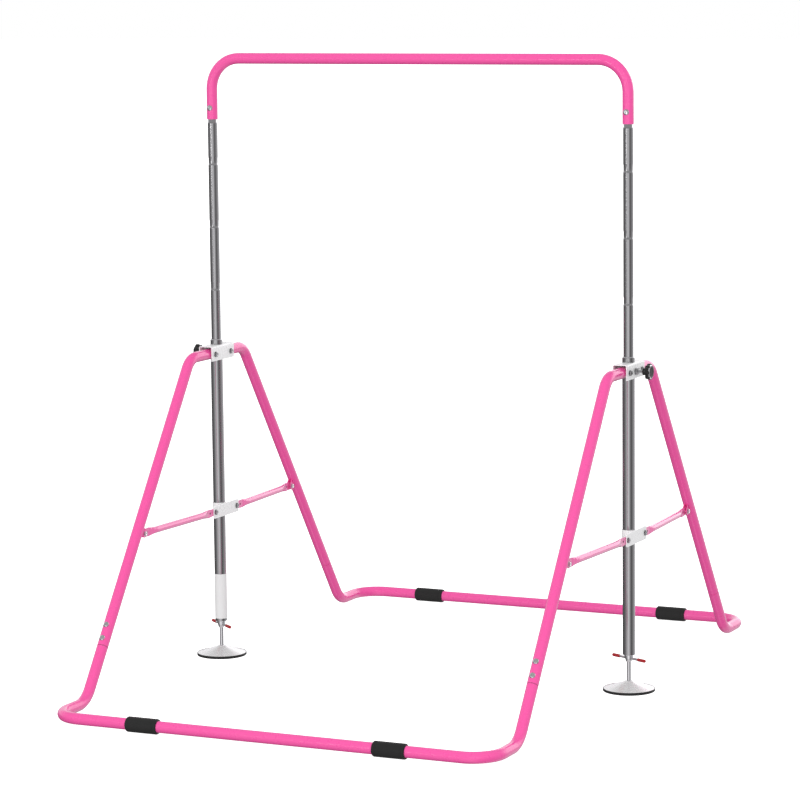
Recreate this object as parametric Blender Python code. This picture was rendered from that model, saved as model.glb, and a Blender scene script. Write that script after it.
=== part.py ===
"""Kip bar: a height-adjustable training bar on two folding leg frames.

Run with: blender --background --python part.py
X runs along the bar, the front is -Y, Z is up and the floor is z = 0. Every mesh is
built where it stands, and each moving body hangs from an empty on its joint's axis.
"""

import math

import bmesh
import bpy
from mathutils import Matrix, Vector

# Driving dimensions, in metres and radians.
BAR_HEIGHT = 1.500  # centre of the bar, at its highest setting
UPRIGHT_SPACING = 1.100  # between the upright axes
BAR_RADIUS = 0.0135
BAR_BEND = 0.075
BAR_SKIRT_END = 1.350  # lower end of the bar's two verticals
BAR_WALL = 0.0009
UPPER_RADIUS = 0.012
UPPER_WALL = 0.0012
UPPER_TOP = 1.420
UPPER_BOTTOM = 0.620
BAR_SCREW_RADIUS = 0.0022
BAR_SCREW_RISE = 0.028  # above the lower end of the bar's verticals
SETTINGS = (0.779, 0.935, 1.091, 1.247)  # waists where the clamp screw seats
WAIST_DEPTH = 0.001
WAIST_HALF = 0.009
LOWER_RADIUS = 0.015
LOWER_WALL = 0.0015
LOWER_TOP = 0.801
LOWER_BOTTOM = 0.0885
BRACKET_BOTTOM = 0.7525
BRACKET_TOP = 0.7895
BRACKET_HALF_LENGTH = 0.058
BRACKET_HALF_WIDTH = 0.0184
SHEET = 0.002
PIVOT_Y = 0.040  # leg hinges, on each side of the upright
PIVOT_Z = 0.769
LEG_RADIUS = 0.0135
LEG_WALL = 0.0014
LEG_INNER_END = 0.032
LEG_SLOPE = 0.7195  # run outwards for each metre down
LEG_REACH = 0.692  # where the leg's centreline would meet the floor
LEG_BEND = 0.055
JOINT_Z = 0.134  # where the leg meets the base frame
JOINT_GAP = 0.0006
SPIGOT_LENGTH = 0.055
JOINT_SCREW_RADIUS = 0.0024
JOINT_SCREW_RISES = (0.015, 0.043)
RAIL_Y = 0.832
RAIL_Z = 0.0178
FRAME_BEND = 0.070
GRIP_RADIUS = 0.0178
GRIP_LENGTH = 0.080
GRIP_X = {"front": 0.310, "rear": 0.350}
COLLAR_Z = 0.374
COLLAR_HEIGHT = 0.032
COLLAR_RADIUS = 0.0170
EAR_Y = 0.056
EAR_PLATE_X = (0.0177, 0.0199)
LUG_DROP = 0.026  # strut pin, square off the leg's centreline
LUG_PIN_Z = 0.373
LUG_HALF_WIDTH = 0.006
LUG_PLATE = 0.002
STRUT_BOLT_RADIUS = 0.003
EAR_HEAD_RADIUS = 0.0062
LUG_HEAD_RADIUS = 0.0058
STRUT_RADIUS = 0.0077
STRUT_BORE = 0.0065
STRUT_EAR_X = 0.0162  # flattened inner end, beside the upright
PLUG_TOP = 0.1065
HUB_TOP = 0.0875
HUB_BOTTOM = 0.0705
HUB_RADIUS = 0.0095
HUB_NECK = 0.0070
STEM_RADIUS = 0.005
STEM_TOP = 0.140
CONE_TOP = 0.0235
CONE_FLARE = 1.05
FLANGE_BOTTOM = 0.0135
FLANGE_TOP = 0.0170
FLANGE_RADIUS = 0.008
FOOT_RADIUS = 0.0625
HANDLE_LENGTH = 0.112
HANDLE_CAP = 0.026
HANDLE_CAP_RADIUS = 0.0040
HANDLE_RADIUS = 0.003
HANDLE_TURN = {"left": math.radians(-38), "right": math.radians(-24.5)}
KNOB_RADIUS = 0.0195
KNOB_INNER = 0.046
KNOB_OUTER = 0.058
CLAMP_TIP = 0.0127
PIVOT_BOLT_RADIUS = 0.004
PIVOT_HEAD_RADIUS = 0.0058
PIVOT_HEAD_HEIGHT = 0.0034
GAP = 0.0003  # kept between pieces that touch
TUBE_SIDES = 12
SMALL_SIDES = 12
FOOT_SIDES = 20

HALF_SPACING = UPRIGHT_SPACING / 2
SIDES = {"left": -1, "right": 1}
ENDS = {"front": -1, "rear": 1}
LEG_ANGLE = math.atan(LEG_SLOPE)
SPIGOT_RADIUS = (LEG_RADIUS - LEG_WALL) * math.cos(math.pi / TUBE_SIDES) - GAP
X_AXIS = Vector((1, 0, 0))
Y_AXIS = Vector((0, 1, 0))
Z_AXIS = Vector((0, 0, 1))

FINISHES = {
    "pink_coat": ((0.90, 0.12, 0.42), 0.30, 0.0),
    "chrome": ((0.62, 0.62, 0.64), 0.12, 1.0),
    "bright_zinc": ((0.80, 0.80, 0.82), 0.25, 1.0),
    "black_plastic": ((0.015, 0.015, 0.016), 0.45, 0.0),
    "black_rubber": ((0.020, 0.020, 0.020), 0.60, 0.0),
}


def clear_scene():
    for item in list(bpy.data.objects):
        bpy.data.objects.remove(item, do_unlink=True)


def make_finishes():
    """One Principled material for each finish."""
    finishes = {}
    for name, (colour, roughness, metallic) in FINISHES.items():
        finish = bpy.data.materials.new(name)
        finish.use_nodes = True
        shader = finish.node_tree.nodes["Principled BSDF"]
        shader.inputs["Base Color"].default_value = (*colour, 1.0)
        shader.inputs["Roughness"].default_value = roughness
        shader.inputs["Metallic"].default_value = metallic
        finishes[name] = finish
    return finishes


# Mesh building -----------------------------------------------------------------


def bore(radius, sides=TUBE_SIDES, gap=GAP):
    """Corner radius of a hole whose flats clear a round piece by the gap."""
    return (radius + gap) / math.cos(math.pi / sides)


def ring(centre, across, up, half_across, half_up, sides, power=2.0):
    """Points round a section: an ellipse, or squarer with a higher power."""
    points = []
    for index in range(sides):
        turn = 2 * math.pi * index / sides
        cosine, sine = math.cos(turn), math.sin(turn)
        reach_across = math.copysign(abs(cosine) ** (2 / power), cosine) * half_across
        reach_up = math.copysign(abs(sine) ** (2 / power), sine) * half_up
        points.append(centre + across * reach_across + up * reach_up)
    return points


def hexagon(centre, across, up, corner_radius):
    """Twelve points round a hexagon, so that it joins a twelve-sided shank."""
    points = []
    for index in range(SMALL_SIDES):
        turn = 2 * math.pi * index / SMALL_SIDES
        reach = corner_radius if index % 2 == 0 else corner_radius * math.cos(math.pi / 6)
        points.append(centre + (across * math.cos(turn) + up * math.sin(turn)) * reach)
    return points


def skin(mesh_data, rings, closed=False):
    """Faces between neighbouring rings, with end caps unless the rings close on themselves."""
    loops = [[mesh_data.verts.new(point) for point in points] for points in rings]
    pairs = list(zip(loops, loops[1:]))
    if closed:
        pairs.append((loops[-1], loops[0]))
    for first, second in pairs:
        for index in range(len(first)):
            following = (index + 1) % len(first)
            mesh_data.faces.new((first[index], first[following], second[following], second[index]))
    if not closed:
        mesh_data.faces.new(loops[0])
        mesh_data.faces.new(loops[-1])


def prism(mesh_data, outline, direction):
    """An outline of points, pushed along a direction."""
    skin(mesh_data, [outline, [point + direction for point in outline]])


def make_object(name, mesh_data, finish=None):
    """Turn a finished bmesh into an object whose faces look outwards."""
    bmesh.ops.recalc_face_normals(mesh_data, faces=mesh_data.faces)
    mesh = bpy.data.meshes.new(name)
    mesh_data.to_mesh(mesh)
    mesh_data.free()
    mesh.shade_smooth()
    mesh.set_sharp_from_angle(angle=math.radians(35))
    if finish:
        mesh.materials.append(finish)
    item = bpy.data.objects.new(name, mesh)
    bpy.context.scene.collection.objects.link(item)
    return item


def combine(target, tool, operation):
    """Add a tool's shape to a target, or take it away; the tool stays a hidden guide."""
    tool.hide_render = True
    tool.display_type = "WIRE"
    step = target.modifiers.new(tool.name, "BOOLEAN")
    step.operation = operation
    step.object = tool


def cross_axes(direction):
    """Two axes square to a direction and to each other."""
    helper = Z_AXIS if abs(direction.dot(Z_AXIS)) < 0.9 else Y_AXIS
    across = direction.cross(helper).normalized()
    return across, across.cross(direction).normalized()


def pins(name, spans, sides=SMALL_SIDES):
    """Several plain cylinders in one object, each given as start, end and radius."""
    mesh_data = bmesh.new()
    for start, end, radius in spans:
        across, up = cross_axes((end - start).normalized())
        skin(mesh_data, [ring(point, across, up, radius, radius, sides) for point in (start, end)])
    return make_object(name, mesh_data)


def drill(target, spans, sides=SMALL_SIDES):
    combine(target, pins("cut_" + target.name, spans, sides), "DIFFERENCE")


def rounded(corners, radii, steps=4):
    """A centreline through the corners, with an arc in place of each inner corner."""
    points = [corners[0]]
    for before, corner, after, radius in zip(corners, corners[1:], corners[2:], radii):
        incoming = (corner - before).normalized()
        outgoing = (after - corner).normalized()
        turn = incoming.angle(outgoing)
        start = corner - incoming * radius * math.tan(turn / 2)
        centre = corner + (outgoing - incoming).normalized() * radius / math.cos(turn / 2)
        axis = incoming.cross(outgoing).normalized()
        for step in range(steps + 1):
            points.append(centre + Matrix.Rotation(turn * step / steps, 3, axis) @ (start - centre))
    points.append(corners[-1])
    return points


def rings_along(points, radii, sides=TUBE_SIDES):
    """Round sections along a centreline, without twist."""
    rings = []
    up = cross_axes((points[1] - points[0]).normalized())[1]
    for index, (point, radius) in enumerate(zip(points, radii)):
        before = points[max(index - 1, 0)]
        after = points[min(index + 1, len(points) - 1)]
        along = (after - point).normalized() + (point - before).normalized()
        along.normalize()
        up = (up - along * up.dot(along)).normalized()
        rings.append(ring(point, along.cross(up), up, radius, radius, sides))
    return rings


def tube(name, points, outer, inner, finish, sides=TUBE_SIDES):
    """A hollow tube along a centreline, open at both ends, with radii given per point."""
    mesh_data = bmesh.new()
    outside = rings_along(points, outer, sides)
    inside = rings_along(points, inner, sides)
    skin(mesh_data, outside + inside[::-1], closed=True)
    return make_object(name, mesh_data, finish)


def turned(name, start, direction, profile, finish, sides=TUBE_SIDES, closed=False):
    """A lathe-turned solid: the profile gives distance along the axis and radius."""
    mesh_data = bmesh.new()
    across, up = cross_axes(direction)
    rings = [ring(start + direction * along, across, up, radius, radius, sides) for along, radius in profile]
    skin(mesh_data, rings, closed)
    return make_object(name, mesh_data, finish)


def hex_bolt(name, centre, direction, shank_radius, sections, finish):
    """Hexagon heads on a round shank; a section is a distance and a head's radius, or None for the shank."""
    mesh_data = bmesh.new()
    across, up = cross_axes(direction)
    rings = []
    for along, head_radius in sections:
        point = centre + direction * along
        if head_radius:
            rings.append(hexagon(point, across, up, head_radius))
        else:
            rings.append(ring(point, across, up, shank_radius, shank_radius, SMALL_SIDES))
    skin(mesh_data, rings)
    return make_object(name, mesh_data, finish)


def through_bolt(name, centre, direction, half_grip, shank_radius, head_radius, head_height, finish):
    """A bolt and nut clamping a width of twice the half grip."""
    face, end = half_grip + GAP, half_grip + GAP + head_height
    sections = [(-end, head_radius), (-face, head_radius), (-face, None), (face, None),
                (face, head_radius), (end, head_radius)]
    return hex_bolt(name, centre, direction, shank_radius, sections, finish)


def screw_profile(face, head, height, shank, tip):
    """A pan head standing on a face, and its shank down to the tip, along the screw's axis."""
    return [(face + height, head - 0.0018), (face + height - 0.001, head - 0.0002), (face, head),
            (face, shank), (tip, shank)]


# Places on the frame -----------------------------------------------------------


def upright_x(side):
    return side * HALF_SPACING


def leg_point(side, end, height):
    """A point on the straight of a leg's centreline."""
    return Vector((upright_x(side), end * (LEG_REACH - LEG_SLOPE * height), height))


def leg_outward(end):
    """Square off the leg, away from the upright and upwards."""
    return Vector((0, end * math.cos(LEG_ANGLE), math.sin(LEG_ANGLE)))


def lug_pin(side, end):
    """Strut pin in the leg's lug."""
    height = LUG_PIN_Z + LUG_DROP * math.sin(LEG_ANGLE)
    return leg_point(side, end, height) - leg_outward(end) * LUG_DROP


def ear_pin(side, end):
    """Strut pin in the collar's ear, on the upright's centre plane."""
    return Vector((upright_x(side), end * EAR_Y, COLLAR_Z))


def leg_pivot(side, end):
    return Vector((upright_x(side), end * PIVOT_Y, PIVOT_Z))


# Bar and uprights --------------------------------------------------------------


def make_top_bar(finishes):
    corners = [Vector((-HALF_SPACING, 0, BAR_SKIRT_END)), Vector((-HALF_SPACING, 0, BAR_HEIGHT)),
               Vector((HALF_SPACING, 0, BAR_HEIGHT)), Vector((HALF_SPACING, 0, BAR_SKIRT_END))]
    points = rounded(corners, (BAR_BEND, BAR_BEND))
    outer = [BAR_RADIUS] * len(points)
    inner = [BAR_RADIUS - BAR_WALL] * len(points)
    return tube("top_bar", points, outer, inner, finishes["pink_coat"])


def make_upper_tube(label, side, finishes):
    """The sliding tube, rolled in to a waist at each height setting."""
    stations = [(UPPER_BOTTOM, 0.0)]
    for setting in SETTINGS:
        stations += [(setting - WAIST_HALF, 0.0), (setting - WAIST_HALF / 2, WAIST_DEPTH),
                     (setting + WAIST_HALF / 2, WAIST_DEPTH), (setting + WAIST_HALF, 0.0)]
    stations.append((UPPER_TOP, 0.0))
    points = [Vector((upright_x(side), 0, height)) for height, _ in stations]
    outer = [UPPER_RADIUS - depth for _, depth in stations]
    inner = [radius - UPPER_WALL for radius in outer]
    return tube("upper_tube_" + label, points, outer, inner, finishes["chrome"])


def make_bar_screw(label, side, finishes):
    """Pan-head screw that fixes the bar to the sliding tube, from the front."""
    start = Vector((upright_x(side), 0, BAR_SKIRT_END + BAR_SCREW_RISE))
    profile = screw_profile(BAR_RADIUS + GAP, 0.0046, 0.0028, BAR_SCREW_RADIUS, 0.0095)
    return turned("bar_screw_" + label, start, -Y_AXIS, profile, finishes["bright_zinc"], SMALL_SIDES)


def bar_screw_hole(side):
    start = Vector((upright_x(side), 0, BAR_SKIRT_END + BAR_SCREW_RISE))
    return [(start, start - Y_AXIS * 0.03, bore(BAR_SCREW_RADIUS, SMALL_SIDES))]


def make_lower_tube(label, side, finishes):
    points = [Vector((upright_x(side), 0, height)) for height in (LOWER_BOTTOM, LOWER_TOP)]
    outer, inner = [LOWER_RADIUS] * 2, [LOWER_RADIUS - LOWER_WALL] * 2
    return tube("lower_tube_" + label, points, outer, inner, finishes["chrome"])


def make_tube_plug(label, side, finishes):
    """Threaded plug in the foot of the lower tube."""
    start = Vector((upright_x(side), 0, LOWER_BOTTOM))
    height = PLUG_TOP - LOWER_BOTTOM
    outer = (LOWER_RADIUS - LOWER_WALL) * math.cos(math.pi / TUBE_SIDES) - GAP
    inner = bore(STEM_RADIUS)
    profile = [(0, outer), (height, outer), (height, inner), (0, inner)]
    return turned("tube_plug_" + label, start, Z_AXIS, profile, finishes["bright_zinc"], closed=True)


def make_bracket(label, side, finishes):
    """Bent sheet channel, open below and at both ends, with the clamp nut welded outside."""
    outer, inner = BRACKET_HALF_WIDTH, BRACKET_HALF_WIDTH - SHEET
    crown, fold = BRACKET_TOP, 0.003
    profile = [(-outer, BRACKET_BOTTOM), (-outer, crown - fold), (-outer + fold * 0.3, crown - fold * 0.3),
               (-outer + fold, crown), (outer - fold, crown), (outer - fold * 0.3, crown - fold * 0.3),
               (outer, crown - fold), (outer, BRACKET_BOTTOM), (inner, BRACKET_BOTTOM),
               (inner, crown - SHEET), (-inner, crown - SHEET), (-inner, BRACKET_BOTTOM)]
    centre_x = upright_x(side)
    outline = [Vector((centre_x + x, -BRACKET_HALF_LENGTH, z)) for x, z in profile]
    mesh_data = bmesh.new()
    prism(mesh_data, outline, Y_AXIS * 2 * BRACKET_HALF_LENGTH)
    bracket = make_object("bracket_" + label, mesh_data, finishes["bright_zinc"])

    out = X_AXIS * side
    seat = Vector((centre_x, 0, PIVOT_Z))
    nut_data = bmesh.new()
    nut_ends = (seat + out * (outer - SHEET / 2), seat + out * (outer + 0.0065))
    skin(nut_data, [hexagon(point, Y_AXIS, Z_AXIS, 0.0078) for point in nut_ends])
    combine(bracket, make_object("weld_nut_" + label, nut_data), "UNION")

    holes = [(seat + out * (inner - 0.001), seat + out * 0.030, bore(0.004, SMALL_SIDES))]
    for end in ENDS.values():
        pivot = leg_pivot(side, end)
        holes.append((pivot - X_AXIS * 0.03, pivot + X_AXIS * 0.03, bore(PIVOT_BOLT_RADIUS, SMALL_SIDES)))
    drill(bracket, holes)
    sleeve = [(seat + Z_AXIS * 0.010, seat + Z_AXIS * 0.030, LOWER_RADIUS + 0.00036)]
    combine(bracket, pins("cut_sleeve_" + label, sleeve, TUBE_SIDES), "DIFFERENCE")
    return bracket


def clamp_hole(side):
    seat = Vector((upright_x(side), 0, PIVOT_Z))
    return [(seat + X_AXIS * side * 0.008, seat + X_AXIS * side * 0.022, bore(0.004, SMALL_SIDES))]


def make_knob_screw(label, side, finishes):
    start = Vector((upright_x(side), 0, PIVOT_Z))
    profile = [(CLAMP_TIP, 0.0028), (CLAMP_TIP + 0.0012, 0.004), (KNOB_OUTER - 0.0045, 0.004)]
    return turned("knob_screw_" + label, start, X_AXIS * side, profile, finishes["bright_zinc"], SMALL_SIDES)


def make_knob(label, side, finishes):
    """Seven-lobed hand knob with a waisted neck and a blind bore for its screw."""
    out = X_AXIS * side
    start = Vector((upright_x(side), 0, PIVOT_Z))
    lobes, sides = 7, 28
    across, up = cross_axes(out)

    def section(along, radius, lobe_depth):
        points = []
        for index in range(sides):
            turn = 2 * math.pi * index / sides
            reach = radius + lobe_depth * math.cos(lobes * turn)
            points.append(start + out * along + (across * math.cos(turn) + up * math.sin(turn)) * reach)
        return points

    body = KNOB_RADIUS - 0.0018
    rings = [section(KNOB_INNER - 0.009, 0.0085, 0), section(KNOB_INNER, 0.0085, 0),
             section(KNOB_INNER, body - 0.0012, 0.0016), section(KNOB_INNER + 0.0015, body, 0.0018),
             section(KNOB_OUTER - 0.002, body, 0.0018), section(KNOB_OUTER, body - 0.002, 0.0014)]
    mesh_data = bmesh.new()
    skin(mesh_data, rings)
    knob = make_object("knob_" + label, mesh_data, finishes["black_plastic"])
    drill(knob, [(start + out * 0.03, start + out * (KNOB_OUTER - 0.004), bore(0.004, SMALL_SIDES))])
    return knob


# Folding leg frames ------------------------------------------------------------


def screw_heights():
    return [JOINT_Z + rise for rise in JOINT_SCREW_RISES]


def joint_screw_span(side, end, height, inner, outer):
    """A line square through a leg's outer wall, between two distances off its centreline."""
    point, out = leg_point(side, end, height), leg_outward(end)
    return point + out * inner, point + out * outer


def joint_holes(side, end):
    holes = []
    for height in screw_heights():
        start, finish = joint_screw_span(side, end, height, 0.004, 0.020)
        holes.append((start, finish, bore(JOINT_SCREW_RADIUS, SMALL_SIDES)))
    return holes


def make_leg(label, side, end, finishes):
    """Bent leg tube with the strut's lug welded under it."""
    elbow_y = end * (LEG_REACH - LEG_SLOPE * PIVOT_Z)
    corners = [Vector((upright_x(side), end * LEG_INNER_END, PIVOT_Z)),
               Vector((upright_x(side), elbow_y, PIVOT_Z)),
               leg_point(side, end, JOINT_Z + JOINT_GAP)]
    points = rounded(corners, (LEG_BEND,))
    outer, inner = [LEG_RADIUS] * len(points), [LEG_RADIUS - LEG_WALL] * len(points)
    leg = tube("leg_" + label, points, outer, inner, finishes["pink_coat"])

    pin, out = lug_pin(side, end), leg_outward(end)
    along = (leg_point(side, end, 0) - leg_point(side, end, 1)).normalized()
    lug_data = bmesh.new()
    root = LUG_DROP - 0.0123
    for plate_x in (-LUG_HALF_WIDTH, LUG_HALF_WIDTH - LUG_PLATE):
        outline = [pin + out * root + along * 0.013, pin + along * 0.010]
        for step in range(1, 8):
            turn = math.pi * step / 8
            outline.append(pin + along * 0.010 * math.cos(turn) - out * 0.010 * math.sin(turn))
        outline += [pin - along * 0.010, pin + out * root - along * 0.013]
        prism(lug_data, [point + X_AXIS * plate_x for point in outline], X_AXIS * LUG_PLATE)
    combine(leg, make_object("lug_" + label, lug_data), "UNION")

    pivot = leg_pivot(side, end)
    drill(leg, [(pivot - X_AXIS * 0.02, pivot + X_AXIS * 0.02, bore(PIVOT_BOLT_RADIUS, SMALL_SIDES)),
                (pin - X_AXIS * 0.02, pin + X_AXIS * 0.02, bore(STRUT_BOLT_RADIUS, SMALL_SIDES))]
          + joint_holes(side, end))
    return leg


def make_base_frame(label, end, finishes):
    """Floor tube of a leg frame, with a necked spigot inside each leg."""
    left, right = -HALF_SPACING, HALF_SPACING
    run_down = (leg_point(-1, end, 0) - leg_point(-1, end, 1)).normalized()
    joint_left = leg_point(-1, end, JOINT_Z)
    foot_y = end * (LEG_REACH - LEG_SLOPE * RAIL_Z)
    corners = [joint_left, Vector((left, foot_y, RAIL_Z)), Vector((left, end * RAIL_Y, RAIL_Z)),
               Vector((right, end * RAIL_Y, RAIL_Z)), Vector((right, foot_y, RAIL_Z)),
               leg_point(1, end, JOINT_Z)]
    middle = rounded(corners, (FRAME_BEND,) * 4)
    neck = [joint_left - run_down * SPIGOT_LENGTH, joint_left - run_down * JOINT_GAP, joint_left]
    mirrored_neck = [Vector((-point.x, point.y, point.z)) for point in neck]
    points = neck + middle[1:-1] + mirrored_neck[::-1]
    outer = [SPIGOT_RADIUS] * 2 + [LEG_RADIUS] * (len(middle)) + [SPIGOT_RADIUS] * 2
    wall = [radius - LEG_WALL for radius in outer]
    frame = tube("base_frame_" + label, points, outer, wall, finishes["pink_coat"])
    drill(frame, joint_holes(-1, end) + joint_holes(1, end))
    return frame


def make_joint_screw(label, side, end, height, finishes):
    """Pan-head screw through the leg into the spigot."""
    start, _ = joint_screw_span(side, end, height, 0, 1)
    profile = screw_profile(LEG_RADIUS + GAP, 0.0050, 0.0030, JOINT_SCREW_RADIUS, 0.0085)
    zinc = finishes["bright_zinc"]
    return turned("joint_screw_" + label, start, leg_outward(end), profile, zinc, SMALL_SIDES)


def make_grip(label, side, end_label, end, finishes):
    """Rubber sleeve that the base frame stands on."""
    start = Vector((side * GRIP_X[end_label] - GRIP_LENGTH / 2, end * RAIL_Y, RAIL_Z))
    hole, corner = bore(LEG_RADIUS), 0.003
    profile = [(0, hole), (0, GRIP_RADIUS - corner), (corner * 0.3, GRIP_RADIUS - corner * 0.3),
               (corner, GRIP_RADIUS), (GRIP_LENGTH - corner, GRIP_RADIUS),
               (GRIP_LENGTH - corner * 0.3, GRIP_RADIUS - corner * 0.3),
               (GRIP_LENGTH, GRIP_RADIUS - corner), (GRIP_LENGTH, hole)]
    return turned("grip_" + label, start, X_AXIS, profile, finishes["black_rubber"], closed=True)


# Struts and collars ------------------------------------------------------------


def make_collar(label, side, finishes):
    """Sleeve that slides on the lower tube, with one ear plate for both struts."""
    centre_x = upright_x(side)
    start = Vector((centre_x, 0, COLLAR_Z - COLLAR_HEIGHT / 2))
    hole = bore(LOWER_RADIUS, gap=0.00035)
    profile = [(0, COLLAR_RADIUS), (COLLAR_HEIGHT, COLLAR_RADIUS), (COLLAR_HEIGHT, hole), (0, hole)]
    collar = turned("collar_" + label, start, Z_AXIS, profile, finishes["bright_zinc"], closed=True)

    near, far = EAR_PLATE_X
    half, reach, corner = COLLAR_HEIGHT / 2, EAR_Y + 0.0095, 0.005
    outline = []
    for sign_y, sign_z, start_turn in ((1, 1, 0), (-1, 1, 90), (-1, -1, 180), (1, -1, 270)):
        for step in range(4):
            turn = math.radians(start_turn + 30 * step)
            outline.append(Vector((centre_x + near, sign_y * (reach - corner) + corner * math.cos(turn),
                                   COLLAR_Z + sign_z * (half - corner) + corner * math.sin(turn))))
    plate_data = bmesh.new()
    prism(plate_data, outline, X_AXIS * (far - near))
    combine(collar, make_object("ear_plate_" + label, plate_data), "UNION")
    weld = [Vector((centre_x + COLLAR_RADIUS - 0.0007, y, COLLAR_Z + z))
            for y, z in ((-0.005, -0.015), (0.005, -0.015), (0.005, 0.015), (-0.005, 0.015))]
    weld_data = bmesh.new()
    prism(weld_data, weld, X_AXIS * 0.0025)
    combine(collar, make_object("ear_weld_" + label, weld_data), "UNION")
    ears = [ear_pin(side, end) for end in ENDS.values()]
    hole = bore(STRUT_BOLT_RADIUS, SMALL_SIDES)
    drill(collar, [(pin + X_AXIS * (near - 0.001), pin + X_AXIS * (far + 0.001), hole) for pin in ears])
    return collar


def make_ear_bolt(label, side, end, finishes):
    """Bolt in the collar's ear; its shank stops short of the strut, the linkage's open pivot."""
    near, far = EAR_PLATE_X
    head = EAR_HEAD_RADIUS
    sections = [(STRUT_EAR_X + 0.0012, None), (far + GAP, None), (far + GAP, head), (far + 0.0043, head)]
    zinc = finishes["bright_zinc"]
    return hex_bolt("ear_bolt_" + label, ear_pin(side, end), X_AXIS, STRUT_BOLT_RADIUS, sections, zinc)


def make_strut(label, side, end, finishes):
    """Round stay flattened at both ends, cranked at the collar to pass beside the upright."""
    ear, lug = ear_pin(side, end), lug_pin(side, end)
    along = (lug - ear).normalized()
    wide = along.cross(X_AXIS).normalized()
    length = (lug - ear).length
    flat, lug_flat, tip = 0.00075, 0.0010, 0.0078
    stations = []
    for step in range(4):
        turn = math.radians(8 + 82 * step / 3)
        stations.append((-tip * math.cos(turn), STRUT_EAR_X, flat, tip * math.sin(turn), 6.0))
    stations += [(0.030, STRUT_EAR_X, flat, 0.0105, 6.0), (0.042, STRUT_EAR_X - 0.001, 0.0012, 0.0100, 4.0),
                 (0.056, 0.0080, 0.0042, 0.0080, 2.5), (0.072, 0, STRUT_RADIUS, STRUT_RADIUS, 2.0),
                 (length - 0.050, 0, STRUT_RADIUS, STRUT_RADIUS, 2.0),
                 (length - 0.036, 0, 0.0036, 0.0090, 3.0), (length - 0.024, 0, lug_flat, 0.0110, 6.0)]
    for step in range(4):
        turn = math.radians(90 - 82 * step / 3)
        stations.append((length + 0.0095 * math.cos(turn), 0, lug_flat, 0.0095 * math.sin(turn), 6.0))
    rings = [ring(ear + along * run + X_AXIS * offset, X_AXIS, wide, thick, width, SMALL_SIDES, power)
             for run, offset, thick, width, power in stations]
    mesh_data = bmesh.new()
    skin(mesh_data, rings)
    strut = make_object("strut_" + label, mesh_data, finishes["pink_coat"])

    middle = ear + along * length / 2
    spare = ear + along * 0.024
    hole = bore(STRUT_BOLT_RADIUS, SMALL_SIDES)
    drill(strut, [(ear + X_AXIS * 0.012, ear + X_AXIS * 0.022, hole),
                  (spare + X_AXIS * 0.012, spare + X_AXIS * 0.022, 0.0028),
                  (lug - X_AXIS * 0.01, lug + X_AXIS * 0.01, hole),
                  (ear + along * 0.082, ear + along * (length - 0.060), STRUT_BORE)])
    drain = pins("cut_drain_" + label, [(middle, middle - Z_AXIS * 0.012, 0.0015)])
    combine(strut, drain, "DIFFERENCE")
    return strut


# Levelling feet ----------------------------------------------------------------


def make_jack_screw(label, side, finishes):
    """Foot spindle: threaded stem, hub for the handle, and a flange kept inside the foot."""
    start = Vector((upright_x(side), 0, 0))
    profile = [(FLANGE_BOTTOM, FLANGE_RADIUS), (FLANGE_TOP, FLANGE_RADIUS), (FLANGE_TOP, STEM_RADIUS),
               (HUB_BOTTOM, STEM_RADIUS), (HUB_BOTTOM, HUB_NECK),
               (HUB_TOP - 0.006, HUB_RADIUS), (HUB_TOP, HUB_RADIUS),
               (HUB_TOP, STEM_RADIUS), (STEM_TOP - 0.001, STEM_RADIUS), (STEM_TOP, STEM_RADIUS - 0.001)]
    jack = turned("jack_screw_" + label, start, Z_AXIS, profile, finishes["bright_zinc"])
    centre = start + Z_AXIS * (HUB_TOP + HUB_BOTTOM) / 2
    bar = handle_direction(label)
    drill(jack, [(centre - bar * 0.03, centre + bar * 0.03, bore(HANDLE_RADIUS, SMALL_SIDES))])
    return jack


def handle_direction(label):
    turn = HANDLE_TURN[label]
    return Vector((math.cos(turn), math.sin(turn), 0))


def make_handle_bar(label, side, finishes):
    """Tommy bar through the hub, with a dipped grip at each end."""
    centre = Vector((upright_x(side), 0, (HUB_TOP + HUB_BOTTOM) / 2))
    half, shoulder, tip = HANDLE_LENGTH / 2, HANDLE_LENGTH / 2 - HANDLE_CAP, HANDLE_LENGTH / 2 - 0.0015
    end_radius = HANDLE_CAP_RADIUS - 0.0012
    outward = [(shoulder, HANDLE_RADIUS), (shoulder, HANDLE_CAP_RADIUS),
               (tip, HANDLE_CAP_RADIUS), (half, end_radius)]
    profile = [(-run, radius) for run, radius in reversed(outward)] + outward
    zinc = finishes["bright_zinc"]
    return turned("handle_bar_" + label, centre, handle_direction(label), profile, zinc, SMALL_SIDES)


def make_foot_cone(label, side, finishes):
    """Spun steel cone over the spindle's flange."""
    start = Vector((upright_x(side), 0, 0))
    rim, neck, steps, sheet = FOOT_RADIUS - 0.0015, 0.0125, 4, 0.0014
    hole = bore(STEM_RADIUS)
    outside = [(CONE_TOP, hole), (CONE_TOP, neck - 0.002)]
    inside = []
    for step in range(steps + 1):
        share = step / steps
        fall, reach = (1 - share) ** CONE_FLARE, neck + (rim - neck) * share
        outside.append((0.0065 + (CONE_TOP - 0.008) * fall, reach))
        inside.append((0.0050 + (CONE_TOP - 0.009) * fall, reach - sheet))
    edge = [(0.0035, rim), (0.0035, rim - sheet)]
    roof = [(CONE_TOP - 0.003, hole + 0.006), (CONE_TOP - 0.003, hole)]
    profile = outside + edge + inside[::-1] + roof
    zinc = finishes["bright_zinc"]
    return turned("foot_cone_" + label, start, Z_AXIS, profile, zinc, FOOT_SIDES, closed=True)


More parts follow.
